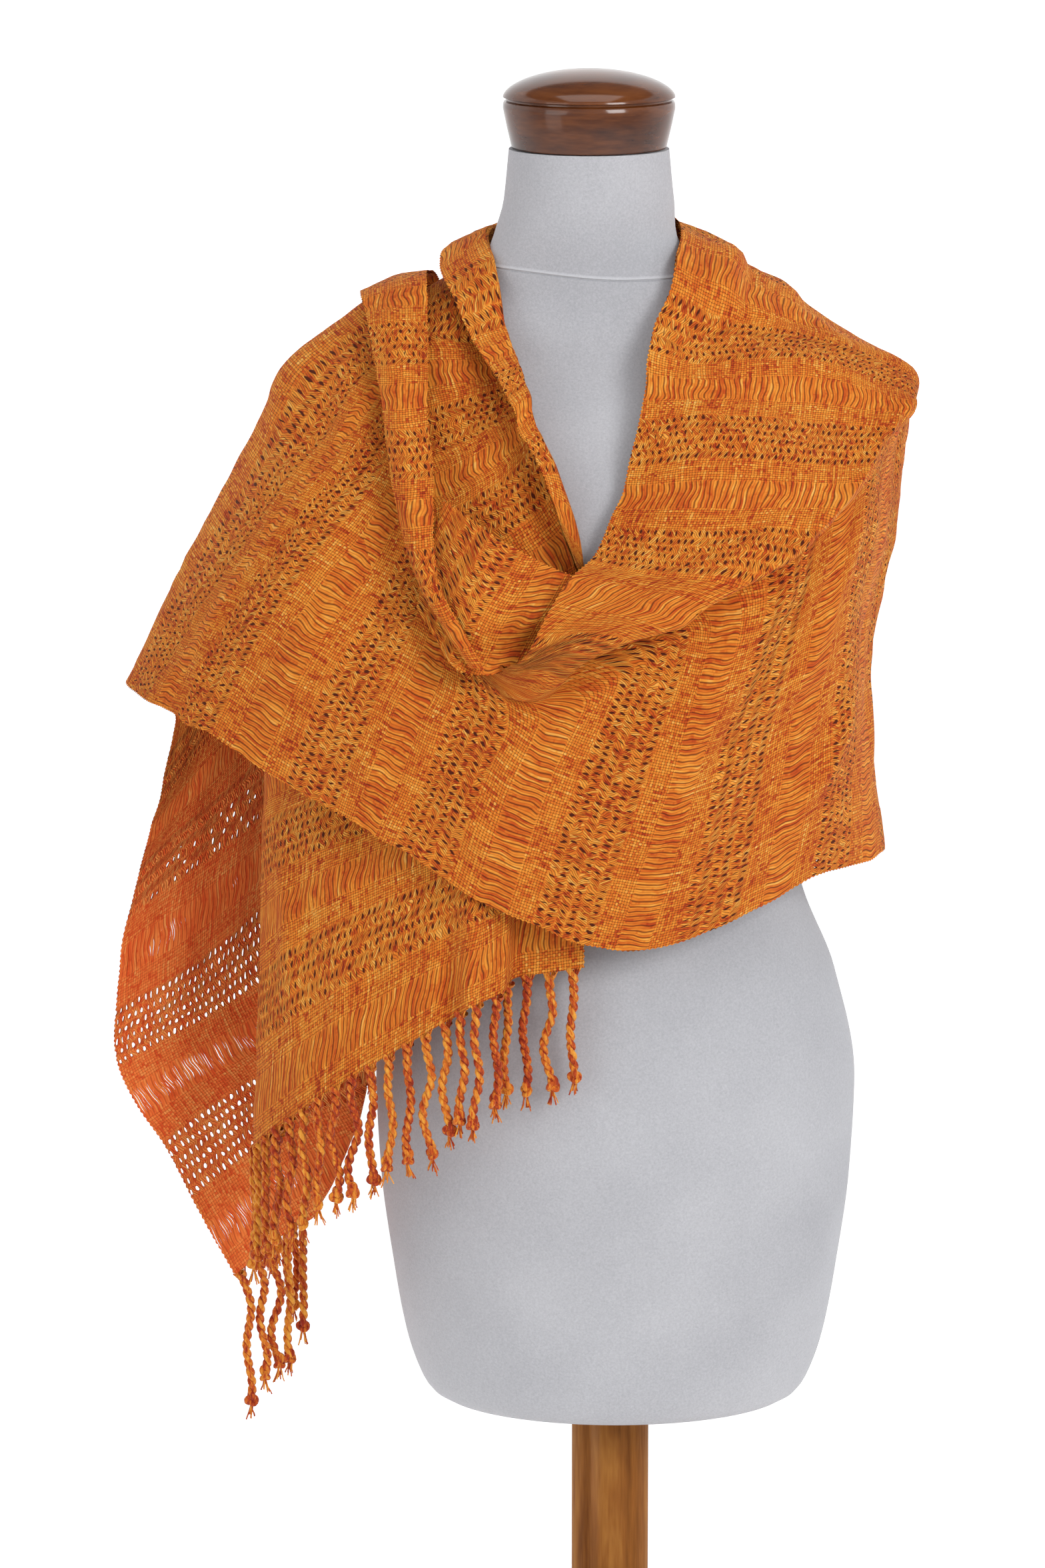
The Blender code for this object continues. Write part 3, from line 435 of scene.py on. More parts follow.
def shell(name, grid, offsets, weave, weave_inside, seam, attributes, material):
    """A closed wall of cloth: the grid moved out and in by its offsets, and a rim of quads round both faces.
    Faces up to the seam's column take weave_inside."""
    rows, columns = grid.shape[:2]
    outer = grid_faces(rows, columns)
    inner = outer[:, ::-1] + rows * columns
    index = np.arange(rows * columns).reshape(rows, columns)
    edge = np.concatenate([index[:-1, 0], index[-1, :-1], index[:0:-1, -1], index[0, :0:-1]])
    after = np.roll(edge, -1)
    rim = np.stack([after, edge, edge + rows * columns, after + rows * columns], -1)
    vertices = np.concatenate([(grid + offsets).reshape(-1, 3), (grid - offsets).reshape(-1, 3)])
    faces = np.concatenate([outer, inner, rim[:, ::-1]])
    twice = {key: np.tile(values.ravel(), 2) for key, values in attributes.items()}
    column = np.tile(np.arange(columns), rows * 2)
    inside = (column[faces].max(axis=1) <= seam)[:, None, None]
    corners = faces % (rows * columns)
    weave = np.where(inside, weave_inside.reshape(-1, 2)[corners], weave.reshape(-1, 2)[corners])
    return new_piece(name, vertices, faces.tolist(), material, 50, weave, twice)


class Cloth:
    """A length of cloth through the rows of its tables, with a weave along its length and real width."""

    def __init__(self, *tables, seat=(0, 0, 0)):
        rows = [row for table in tables for row in table[1:]]
        self.lengths = np.array([row[0] for row in rows])
        points = np.array([row[1:] for row in rows], dtype=float) * MM
        chords = np.linalg.norm(np.diff(points, axis=1), axis=2).mean(axis=0)
        self.columns = np.concatenate([[0], np.cumsum(chords)])
        self.along = spread(self.lengths, CLOTH_CELL)
        self.across = spread(self.columns, CLOTH_CELL)
        lines = through(points, self.lengths, self.along).swapaxes(0, 1)
        self.grid = soften(through(lines, self.columns, self.across).swapaxes(0, 1), 3) + np.array(seat)
        self.measure()

    def measure(self):
        """Distances across each row, from its first column and its last, and from the nearer selvedge."""
        steps = np.linalg.norm(np.diff(self.grid, axis=1), axis=2)
        self.from_first = np.concatenate([np.zeros((len(steps), 1)), np.cumsum(steps, axis=1)], axis=1)
        self.width = self.from_first[:, -1:] - self.from_first
        self.selvedge = np.minimum(self.width, self.from_first)
        self.length = np.repeat(self.along[:, None], len(self.across), axis=1)

    def place(self, length, column):
        """Where a length and a column fall: the length, and the width there."""
        row = np.searchsorted(self.along, length).clip(0, len(self.along) - 1)
        across = np.interp(column, range(len(self.columns)), self.columns)
        return np.array([length, np.interp(across, self.across, self.width[row])])

    def lift(self, heights):
        """Moves the cloth along its normals."""
        self.grid = self.grid + normals(self.grid) * heights[..., None]

    def crease(self, table):
        """Adds each crease: a bell curve of the distance to its line, fading at both ends."""
        heights = np.zeros(self.grid.shape[:2])
        here = np.stack([self.length, self.width], axis=-1)
        for length, column, to_length, to_column, width, height in table[1:]:
            start, end = self.place(length, column), self.place(to_length, to_column)
            run = end - start
            t = np.clip(((here - start) @ run) / (run @ run), 0, 1)
            distance = np.linalg.norm(here - start - t[..., None] * run, axis=-1)
            bell = np.exp(-(distance / (width * MM)) ** 2)
            uneven = wander(t * 7, t * 0, 3.0, int(abs(length) * 997)) * 0.35 + 1
            heights += height * MM * uneven * bell * (1 - (2 * t - 1) ** 4)
        self.lift(heights)

    def pucker(self, amounts):
        """Adds unevenness, as (size, height) pairs of smooth noise."""
        self.lift(sum(
            height * wander(self.length, self.width, size, 31 + k) for k, (size, height) in enumerate(amounts)
        ))

    def scallop(self, size, reach):
        """Unevenness of both selvedges in the plane of the cloth, fading inwards."""
        sideways = unit(np.gradient(self.grid, axis=1))
        pull = reach * wander(self.length, self.width * 0, size, 77) * np.exp(-self.selvedge / SCALLOP_FADE)
        self.grid = self.grid + sideways * pull[..., None]

    def piece(self, name, material, thickness, openness, first=0, last=None, weave=None):
        """The stretch between two rows as a closed wall. Unless the weave is given, its yarns run along the
        nearer selvedge, as far as a fold."""
        rows = slice(first, last)
        weave_inside, seam = weave, 0
        if weave is None:
            weave = np.stack([self.length, self.width], axis=-1)
            gathered = np.argmin(abs(self.along - GATHERED_FROM))
            slack = self.width[gathered, 0] - self.width[:, :1]
            from_collar = self.from_first + np.where(self.length < GATHERED_FROM, 0, slack)
            weave_inside = np.stack([self.length, COLLAR_WIDTH - from_collar], axis=-1)
            seam = int(np.argmin(abs(self.across - self.columns[FOLD_COLUMN])))
        offsets = (normals(self.grid) * thickness / 2)[rows]
        attributes = {"selvedge": self.selvedge[rows], "openness": openness[rows]}
        grid, weave, weave_inside = self.grid[rows], weave[rows], weave_inside[rows]
        return shell(name, grid, offsets, weave, weave_inside, seam, attributes, material)


def skin(name, middle, half_width, front, behind, height, sides, material):
    """A closed skin through level rings, each an ellipse that may be deeper in front or behind, with a fan of
    triangles to a point in the middle of the lowest and the highest."""
    angle = np.arange(sides) * math.tau / sides
    depth = np.where(np.sin(angle) > 0, behind[:, None], front[:, None])
    x = middle[:, None] + half_width[:, None] * np.cos(angle)
    y = depth * np.sin(angle)
    z = np.repeat(height[:, None], sides, axis=1)
    poles = [[middle[0], 0, height[0]], [middle[-1], 0, height[-1]]]
    vertices = np.concatenate([np.stack([x, y, z], axis=-1).reshape(-1, 3), poles])
    ring = np.arange(sides)
    after = (ring + 1) % sides
    top = (len(height) - 1) * sides
    foot_fan = np.stack([after, ring, np.full(sides, top + sides)], -1)
    top_fan = np.stack([top + ring, top + after, np.full(sides, top + sides + 1)], -1)
    faces = grid_faces(len(height), sides, wrap=True).tolist() + foot_fan.tolist() + top_fan.tolist()
    return new_piece(name, vertices, faces, material)


def turned(name, profile, middle_x, sides, material):
    """A turned solid: its profile of (radius, height) points carried round the axis."""
    radius, height = np.array(profile).T
    return skin(name, np.full(len(radius), middle_x), radius, radius, radius, height, sides, material)


def torso(material):
    """The padded body: cubics through the rings' sizes."""
    table = np.array(TORSO_RINGS[1:])
    height = spread(table[:, 0], TORSO_CELL)
    half_width, front, behind, middle = through(table[:, 1:], table[:, 0], height).T
    return skin("form_body", middle, half_width, front, behind, height, 180, material)


def arc(centre, radius, first, last, count):
    """Points of a part of a circle in a profile, between two angles in degrees."""
    angle = np.radians(np.linspace(first, last, count))
    return [(centre[0] + radius * math.cos(a), centre[1] + radius * math.sin(a)) for a in angle]


def cap_profile():
    """The neck cap: a cup widening upward, a fine groove and a low dome."""
    foot = NECK_TOP + SEAM_GAP
    bead = CAP_RADIUS - 0.0024
    profile = [(CAP_FOOT_RADIUS - 0.002, foot), (CAP_FOOT_RADIUS - 0.0006, foot + 0.0006)]
    profile += [(CAP_FOOT_RADIUS, foot + 0.002), (0.0572, 1.5610), (CAP_RADIUS, CAP_GROOVE - 0.006)]
    profile += [(CAP_RADIUS - 0.0002, CAP_GROOVE - 0.0030), (CAP_RADIUS - 0.0008, CAP_GROOVE - 0.0015)]
    profile += [(bead, CAP_GROOVE - 0.0005), (bead, CAP_GROOVE + 0.0005)]
    dome_foot = CAP_GROOVE + 0.0015
    angle = np.radians(np.linspace(0, 88, 28))
    radius = CAP_RADIUS * np.cos(angle)
    height = dome_foot + (CAP_TOP - dome_foot) * np.sin(angle) ** 1.15
    return profile + list(zip(radius, height))


def base_profile():
    """The foot: flat underside, rounded rim and a low boss under the pole."""
    corner, top = BASE_ROUNDING, BASE_HEIGHT - 0.006
    shoulder = BASE_RADIUS - corner
    profile = [(shoulder, 0.0)] + arc((shoulder, corner), corner, -80, 0, 6)
    profile += arc((shoulder, top - corner), corner, 0, 90, 7)
    boss = [(0.056, top), (0.0535, top + 0.0006), (0.0435, BASE_HEIGHT - 0.001), (0.042, BASE_HEIGHT)]
    return profile + boss


# Fringe

def tubes(paths, radius, sides, closed):
    """Round tubes along many paths at once, by (tube, point, xyz), with rings square to the path."""
    heading = unit(np.gradient(paths, axis=1))
    if closed:
        heading = unit(np.roll(paths, -1, axis=1) - np.roll(paths, 1, axis=1))
    aside = unit(np.cross(heading, np.array([0.31, 0.83, 0.46])))
    other = np.cross(heading, aside)
    angle = np.arange(sides) * math.tau / sides
    circle = aside[:, :, None] * np.cos(angle)[:, None] + other[:, :, None] * np.sin(angle)[:, None]
    vertices = (paths[:, :, None] + circle * radius).reshape(-1, 3)
    count, points = paths.shape[:2]
    one = grid_faces(points, sides, wrap=True)
    if closed:
        ring = np.arange(sides)
        after = (ring + 1) % sides
        end = (points - 1) * sides
        one = np.concatenate([one, np.stack([end + ring, end + after, after, ring], -1)])
    faces = (one[None] + (np.arange(count) * points * sides)[:, None, None]).reshape(-1, 4)
    return vertices, faces[:, ::-1]


def strand_roots(edge):
    """Distances along the hem where the strands start, and the hem's running length."""
    lengths = np.concatenate([[0], np.cumsum(np.linalg.norm(np.diff(edge, axis=0), axis=1))])
    roots, places = [], []
    for at in np.arange(STRAND_PITCH / 2, lengths[-1] - HEM_MARGIN, STRAND_PITCH):
        place = np.array([np.interp(at, lengths, edge[:, axis]) for axis in range(3)])
        if all(np.linalg.norm((place - other)[:2]) > STRAND_CLEAR for other in places):
            roots.append(at)
            places.append(place)
    return np.array(roots), lengths


def fringe(name, edge, outward, length, material):
    """Strands along a hem: yarns gather from it, twist as two plies, tie an overhand knot and end loose."""
    chance = np.random.default_rng(FRINGE_SEED)
    roots, lengths = strand_roots(edge)
    count = len(roots)
    parts, yarn, total = [], [], 0

    def at(values, where):
        """Values along the hem, read at distances along it."""
        return np.stack([np.interp(where, lengths, values[:, axis]) for axis in range(3)], axis=-1)

    def keep(paths, radius, sides, closed=False):
        """Adds tubes, each with a shade of yarn of its own."""
        nonlocal total
        vertices, faces = tubes(paths, radius, sides, closed)
        parts.append((vertices, faces + total))
        yarn.append(np.repeat(chance.uniform(0, 1, len(paths)), len(vertices) // len(paths)))
        total += len(vertices)

    base, out = at(edge, roots), unit(at(outward, roots))
    hem = unit(at(edge, roots + 2 * MM) - at(edge, roots - 2 * MM))
    flat = unit(hem * (1, 1, 0))
    aside = np.stack([-flat[:, 1], flat[:, 0], flat[:, 2]], axis=-1)
    knot_at = (length - TUFT_LENGTH) * chance.uniform(0.92, 1.06, count)

    # The middle line of each strand leaves in the plane of the cloth, then hangs and sways
    distance = knot_at[:, None] * np.linspace(0, 1, STRAND_RINGS)
    fall = np.clip(distance / STRAND_BEND, 0, 1)[..., None]
    heading = unit(out[:, None] * (1 - fall) + DOWN * fall)
    step = np.diff(distance, axis=1, prepend=0)[..., None]
    path = base[:, None] + np.cumsum(heading * step, axis=1)
    phase = chance.uniform(0, math.tau, (2, count, 1))
    sway = chance.uniform(0.0014, 0.0040, (2, count, 1)) * fall[..., 0]
    path = path + flat[:, None] * (sway[0] * np.sin(phase[0] + distance * 105))[..., None]
    path = path + aside[:, None] * (0.4 * sway[1] * np.sin(phase[1] + distance * 85))[..., None]

    twist = phase[0] + distance * math.tau / TWIST_LENGTH
    reach = PLY_REACH + 0.0016 * np.exp(-distance / 0.005)
    for turn in (twist, twist + math.pi):
        shift = flat[:, None] * (reach * np.cos(turn))[..., None]
        shift = shift + aside[:, None] * (reach * np.sin(turn))[..., None]
        keep(path + shift, PLY_RADIUS, 7)

    # Yarns gather from the hem to the ninth ring of the strand
    t = np.linspace(0, 1, 9)
    pull = 0.2 + 0.8 * (1 - t) ** 1.6
    middle = path[:, :1] + (path[:, 8:9] - path[:, :1]) * np.linspace(-0.12, 1, 9)[:, None]
    for k in range(HEM_YARNS):
        reach = (k - (HEM_YARNS - 1) / 2) * HEM_YARN_PITCH
        keep(middle + hem[:, None] * (reach * pull)[:, None], YARN_RADIUS, 5)

    # The knot is a trefoil, drawn out downwards
    a = np.linspace(0, math.tau, 42, endpoint=False)
    loop = np.stack([np.sin(a) + 2 * np.sin(2 * a), np.cos(a) - 2 * np.cos(2 * a), -1.4 * np.sin(3 * a)], -1)
    loop = loop * KNOT_SIZE
    turn = chance.uniform(0, math.tau, count)
    side = flat * np.cos(turn)[:, None] + aside * np.sin(turn)[:, None]
    away = np.cross(DOWN, side)
    end = path[:, -1:]
    knot = end + side[:, None] * loop[:, :1] + DOWN * loop[:, 1:2] * 1.35 + away[:, None] * loop[:, 2:]
    keep(knot, KNOT_RADIUS, 7, closed=True)

    u = np.linspace(0, 1, 7)[:, None]
    for _ in range(TUFT_HAIRS):
        lean = chance.uniform(-0.32, 0.32, (2, count, 1, 1))
        long = chance.uniform(0.8, 1.25, (count, 1, 1)) * TUFT_LENGTH
        curl = chance.uniform(-0.0011, 0.0011, (count, 1, 1)) * np.sin(u * 5)
        bent = long * u**1.4
        hair = end + DOWN * (0.001 + long * u) + flat[:, None] * (lean[0] * bent + curl)
        keep(hair + aside[:, None] * lean[1] * bent, HAIR_RADIUS, 4)

    vertices = np.concatenate([part[0] for part in parts])
    faces = np.concatenate([part[1] for part in parts])
    return new_piece(name, vertices, faces.tolist(), material, 80, attributes={"yarn": np.concatenate(yarn)})


# Finishes. Scales of noise are in cycles a metre, so that 50 makes a pattern of 20 mm and 620 one of 1.6 mm.

def add(tree, kind, *inputs, out=0, stops=(), **settings):
    """Adds a node and gives back one output. The kind is its type, or in capitals a Math node's operation.
    Lower-case names are its settings and capitalised ones its sockets. The other values go to its sockets in
    order, and stops are the (position, colour) pairs of a colour ramp."""
    if kind.isupper():
        kind, settings["operation"] = "Math", kind
    node = tree.nodes.new("ShaderNode" + kind)
    for key, value in settings.items():
        if key[0].islower():
            setattr(node, key, value)
    for position, colour in stops:
        node.color_ramp.elements.new(position).color = linear(colour)
    for end in (0, -1) if stops else ():
        node.color_ramp.elements.remove(node.color_ramp.elements[end])
    named = ((node.inputs[key], value) for key, value in settings.items() if key[0].isupper())
    for socket, value in [*zip((socket for socket in node.inputs if socket.enabled), inputs), *named]:
        if isinstance(value, bpy.types.NodeSocket):
            tree.links.new(value, socket)
        elif value is not None:
            socket.default_value = value
    return node.outputs[out] if isinstance(out, str) else [o for o in node.outputs if o.enabled][out]


def new_material(name):
    """A Principled material, its node tree, and what adds a node to that tree."""
    material = bpy.data.materials.new(name)
    material.use_nodes = True
    return material, material.node_tree, partial(add, material.node_tree)


def finish(tree, colour, height, constants, **linked):
    """Links a colour and a height in metres to the material's shader, and sets its constant sockets."""
    inputs = tree.nodes["Principled BSDF"].inputs
    linked["Normal"] = add(tree, "Bump", Strength=1.0, Distance=1.0, Height=height)
    linked["Base Color"] = colour
    for key, socket in linked.items():
        tree.links.new(socket, inputs[key])
    for key, value in constants.items():
        inputs[key].default_value = value


def ridges(node, count):
    """A round ridge for each whole step of a count: the absolute value of a sine."""
    return node("ABSOLUTE", node("SINE", node("MULTIPLY", count, math.pi)))


def along_yarns(node, run, frequency, number, apart, layer, **settings):
    """Noise that runs along each numbered yarn, at a frequency in cycles a metre."""
    spot = node("CombineXYZ", node("MULTIPLY", run, frequency), node("MULTIPLY", number, apart), layer)
    return node("TexNoise", Vector=spot, Scale=1.0, **settings)


def handwoven_cloth():
    """Matt handwoven cotton of space-dyed yarn, in bands of gauze eyelets, plain weave and bare warp."""
    material, tree, node = new_material("orange_handwoven_cloth")
    place = node("SeparateXYZ", node("UVMap", uv_map="Cloth"))
    along = node("ADD", place, -FIRST_EYELETS)
    across = place.node.outputs["Y"]
    flow = node("CombineXYZ", along, across, 0)
    openness = node("Attribute", attribute_name="openness", out="Fac")
    selvedge = node("Attribute", attribute_name="selvedge", out="Fac")

    # Bands, by the distance from the middle of the nearest eyelets
    from_eyelets = node("PINGPONG", along, BAND_REPEAT / 2)
    edge = EYELET_BAND / 2
    eyelets = node("MapRange", from_eyelets, edge - 0.001, edge + 0.001, 1, 0)
    bare_from = (BAND_REPEAT - BARE_WARP_BAND) / 2
    bare = node("MapRange", from_eyelets, bare_from - 0.0008, bare_from + 0.0008, 0, 1)

    # Warp yarns sway side by side, most where no weft holds them
    sway = node("ADD", node("TexNoise", Vector=flow, Scale=50.0, Detail=1.0, Roughness=0.4), -0.5)
    freedom = node("MapRange", bare, 0, 1, 0.0026, 0.0092)
    swayed = node("MULTIPLY_ADD", sway, freedom, across)
    warp_count = node("DIVIDE", swayed, WARP_PITCH)
    warp_index = node("FLOOR", warp_count)
    warp_round = ridges(node, warp_count)
    weft_count = node("DIVIDE", along, WEFT_PITCH)
    weft_index = node("FLOOR", weft_count)
    weft_round = ridges(node, weft_count)

    # Plain weave, where warp and weft take turns on top
    weft_over = node("PINGPONG", node("ADD", warp_index, weft_index), 1.0)
    over = node("Mix", weft_over, warp_round, weft_round)
    under = node("Mix", weft_over, weft_round, warp_round)
    plain_height = node("MULTIPLY", over, node("MapRange", under, 0, 1, 0.6, 1.15))

    # Bare warp, whose yarns clump in pairs with dark lines between
    pair_round = ridges(node, node("MULTIPLY", warp_count, 0.5))
    bare_height = node("MapRange", node("Mix", 0.55, warp_round, pair_round), 0, 1, 0.11, 0.78)

    # Gauze, in rows of crossed bundles with staggered eyelets between them
    jitter = node("SeparateXYZ", node("TexNoise", Vector=flow, Scale=120.0, Detail=1.0, out="Color"))
    jitter_across = node("ADD", jitter.node.outputs["Y"], -0.5)
    jitter_along = node("ADD", jitter, -0.5)
    shifted = node("MULTIPLY_ADD", jitter_along, 0.0045, along)
    shifted = node("ADD", shifted, EYELET_BAND / 2)
    from_band = node("WRAP", shifted, BAND_REPEAT, 0.0)
    row_count = node("DIVIDE", from_band, EYELET_BAND / EYELET_ROWS)
    row = node("FLOOR", row_count)
    in_row = node("ADD", node("FRACT", row_count), -0.5)
    pushed = node("MULTIPLY_ADD", jitter_across, 0.0040, swayed)
    stagger = node("MULTIPLY", row, 0.5)
    bundle_count = node("MULTIPLY_ADD", pushed, 1 / EYELET_PITCH, stagger)
    bundle = node("FLOOR", bundle_count)
    in_bundle = node("ADD", node("FRACT", bundle_count), -0.5)
    off_middle = node("ABSOLUTE", in_bundle)
    hole_spot = node("FLOOR", node("ADD", bundle_count, 0.5))
    band_index = node("FLOOR", node("DIVIDE", shifted, BAND_REPEAT))
    chance = node("TexWhiteNoise", node("CombineXYZ", hole_spot, row, band_index))
    slit = node("MapRange", chance, 0, 1, 0.02, 0.18)
    open_eyelet = node("MapRange", chance, 0, 1, 0.11, 0.22)
    wide = node("Mix", node("MapRange", openness, 0.7, 1.0, 0, 1), slit, open_eyelet)
    hole_across = node("DIVIDE", node("SUBTRACT", 0.5, off_middle), wide)
    hole_along = node("ABSOLUTE", node("DIVIDE", in_row, 0.25))
    hole_size = node("ADD", node("POWER", hole_across, 2.0), node("POWER", hole_along, 2.0))
    lean = node("MapRange", node("PINGPONG", row, 1.0), 0, 1, 1.1, -0.7)
    slanted = node("MULTIPLY_ADD", in_row, lean, in_bundle)
    ply_count = node("MULTIPLY", slanted, 3.0)
    ply_index = node("FLOOR", ply_count)
    ply_round = ridges(node, ply_count)
    tie = node("MapRange", node("ABSOLUTE", in_row), 0.38, 0.46, 0, 1)
    tie = node("MULTIPLY", tie, node("MapRange", chance, 0, 1, 0.1, 0.8))
    bundle_height = node("Mix", tie, ply_round, warp_round)
    rim = node("MapRange", hole_size, 0.6, 2.2, 0.0, 1.0)
    gauze_height = node("MULTIPLY", node("MapRange", bundle_height, 0, 1, 0.3, 0.95), rim)

    # Space-dyed yarn runs from gold through orange to red, with short red slubs
    warp_dye = along_yarns(node, along, 36.0, warp_index, 5.37, 0, Detail=3.0, Roughness=0.6)
    weft_dye = along_yarns(node, across, 36.0, weft_index, 7.91, 31.0, Detail=3.0, Roughness=0.6)
    ply_spot = node("CombineXYZ", node("ADD", ply_index, bundle), row, bundle)
    ply_dye = node("MapRange", node("TexWhiteNoise", ply_spot), 0, 1, 0.36, 0.68)
    dye = node("Mix", weft_over, warp_dye, weft_dye)
    dye = node("Mix", bare, dye, warp_dye)
    dye = node("Mix", eyelets, dye, node("Mix", tie, ply_dye, weft_dye))
    dye = node("MapRange", dye, 0, 1, 0.20, 0.80)
    own_dye = node("TexWhiteNoise", node("CombineXYZ", warp_index, 0, 0))
    own_dye = node("MapRange", own_dye, 0, 1, -0.035, 0.035)
    slubs = along_yarns(node, along, 150.0, warp_index, 2.7, 4.0, Detail=2.0)
    patches = node("TexNoise", Vector=flow, Scale=22.0, Detail=2.0, Roughness=0.55)
    slubs = node("ADD", slubs, node("MapRange", patches, 0.35, 0.65, -0.02, 0.02))
    slub_shift = node("MapRange", slubs, 0.57, 0.64, 0.0, -0.14)
    slub_shift = node("MULTIPLY", slub_shift, node("MapRange", bare, 0, 1, 1.0, 0.45))
    patch_shift = node("MapRange", patches, 0.3, 0.7, 0.018, -0.018)
    band_shift = node("Mix", eyelets, node("MapRange", bare, 0, 1, 0.005, -0.004), 0.0)
    # painted glow: towards the back end the dye is shifted redder, and below it is lightened, standing in for
    # light coming through the cloth
    painted_glow_span = node("MapRange", along, 1.82, 1.99, 0, 1)
    for shift in (own_dye, slub_shift, patch_shift, band_shift, node("MULTIPLY", painted_glow_span, -0.04)):
        dye = node("ADD", dye, shift)
    stops = ((0.28, "A3300F"), (0.40, "C65116"), (0.49, "DD7722"), (0.57, "EC9634"), (0.68, "F8BE62"))
    dyed = node("ValToRGB", dye, stops=stops)

    # Painted shade: gaps between yarns, and eyelets that are not cut through, darken toward dark brown, and the
    # cloth behind gets a painted glow where light would come through it
    height = node("Mix", bare, plain_height, bare_height)
    height = node("Mix", eyelets, height, gauze_height)
    painted_shade_lift = node("Mix", eyelets, node("MapRange", bare, 0, 1, 0.12, 0.0), 0.0)
    shade = node("MapRange", node("ADD", height, painted_shade_lift), 0.10, 0.70, 0.0, 1.0)
    # painted shade: where the yarn relief is low, the dye is mixed toward dark brown
    colour = node("Mix", shade, linear("4E1806"), dyed, data_type="RGBA")
    # painted glow: over the back end the colour is mixed toward bright orange, standing in for light coming
    # through the thin cloth
    painted_glow_amount = node("MULTIPLY", painted_glow_span, 0.72)
    painted_glow_colour = node("ValToRGB", dye, stops=((0.34, "F05A26"), (0.47, "FF8240"), (0.60, "FFAA62")))
    painted_glow_colour = node("Mix", shade, linear("DC5A28"), painted_glow_colour, data_type="RGBA")
    colour = node("Mix", painted_glow_amount, colour, painted_glow_colour, data_type="RGBA")

    # Light comes through eyelets, the sheer middle of the bare warp and past the loops of the selvedge
    drawn = node("Mapping", flow, None, None, (0.4, 3.0, 1.0))
    streak = node("TexNoise", Vector=drawn, Scale=80.0, Detail=3.0, Roughness=0.6)
    sheer = node("MapRange", node("MULTIPLY", streak, openness), 0.45, 0.60, 0.0, 0.42)
    furthest = BAND_REPEAT / 2
    middle = node("MapRange", from_eyelets, furthest - 0.0095, furthest - 0.0045, 0, 1)
    sheer = node("MULTIPLY", sheer, middle)
    closed_gap = node("GREATER_THAN", warp_round, sheer)
    through_eyelet = node("MULTIPLY_ADD", chance, 0.35, openness)
    lit = node("GREATER_THAN", through_eyelet, 1.0)
    hole = node("LESS_THAN", hole_size, 1.0)
    hole = node("MULTIPLY", node("MULTIPLY", hole, lit), eyelets)
    loops = node("SINE", node("MULTIPLY", along, math.tau / EDGE_LOOP))
    loops = node("MULTIPLY_ADD", loops, 0.0004, 0.0006)
    inside = node("GREATER_THAN", selvedge, loops)
    alpha = node("MULTIPLY", node("SUBTRACT", 1.0, hole), inside)
    alpha = node("MULTIPLY", alpha, closed_gap)

    relief = node("MapRange", eyelets, 0, 1, 0.00035, 0.0008)
    finish(tree, colour, node("MULTIPLY", relief, height), {
        "Roughness": 0.82,
        "Specular IOR Level": 0.2,
        "Sheen Weight": 0.08,
        "Sheen Roughness": 0.5,
        "Sheen Tint": linear("FFC98A"),
    }, Alpha=alpha)
    return material


def twisted_cord():
    """Two-ply cord of the same yarns, twisted by hand: gold and red threads side by side, matt."""
    material, tree, node = new_material("orange_twisted_cord")
    yarn = node("Attribute", attribute_name="yarn", out="Fac")
    place = node("TexCoord", out="Object")
    stretched = node("Mapping", place, None, None, (1.0, 1.0, 0.22))
    streaks = node("TexNoise", Vector=stretched, Scale=420.0, Detail=2.0, Roughness=0.6)
    dye = node("MULTIPLY_ADD", yarn, 0.24, node("ADD", streaks, -0.12))
    stops = ((0.30, "94290C"), (0.42, "BC4A14"), (0.50, "D06C1E"), (0.58, "DF882A"), (0.70, "EBA33C"))
    ramp = node("ValToRGB", dye, stops=stops)
    relief = node("MULTIPLY", streaks, 0.0007)
    finish(tree, ramp, relief, {"Roughness": 0.8, "Specular IOR Level": 0.25, "Sheen Weight": 0.12})
    return material


def knit_jersey():
    """Fine knitted jersey over padding: cool pale grey with a small even grain and a seam at the throat."""
    material, tree, node = new_material("grey_knit_jersey")
    place = node("TexCoord", out="Object")
    x = node("SeparateXYZ", place)
    z = x.node.outputs["Z"]
    grain = node("TexNoise", Vector=place, Scale=620.0, Detail=3.0, Roughness=0.8)
    cloudy = node("TexNoise", Vector=place, Scale=9.0, Detail=2.0)
    tone = node("MULTIPLY_ADD", grain, 0.6, node("MULTIPLY", cloudy, 0.4))
    tone = node("MapRange", tone, 0.35, 0.65)
    grey = node("Mix", tone, linear("ABABB0"), linear("C4C4C8"), data_type="RGBA")
    seam_height = node("MapRange", x, -0.085, 0.01, 1.4650, 1.4585, interpolation_type="SMOOTHSTEP")
    above = node("SUBTRACT", z, seam_height)
    band = node("MapRange", node("ADD", above, -0.0016), 0.0, 0.0016, 1, 0)
    band = node("MULTIPLY", band, node("GREATER_THAN", above, 0.0))
    stitch = node("ABSOLUTE", above)
    stitch = node("MapRange", stitch, 0.0003, 0.0009, 1, 0)
    banded = node("MULTIPLY", band, 0.55)
    pale = node("Mix", banded, grey, linear("D6D6DA"), data_type="RGBA")
    stitched = node("MULTIPLY", stitch, 0.25)
    marked = node("Mix", stitched, pale, linear("85858E"), data_type="RGBA")
    step = node("MULTIPLY_ADD", band, 0.0006, node("MULTIPLY", grain, 0.00028))
    relief = node("MULTIPLY_ADD", stitch, -0.0006, step)
    finish(tree, marked, relief, {"Roughness": 0.85, "Specular IOR Level": 0.2, "Sheen Weight": 0.15})
    return material


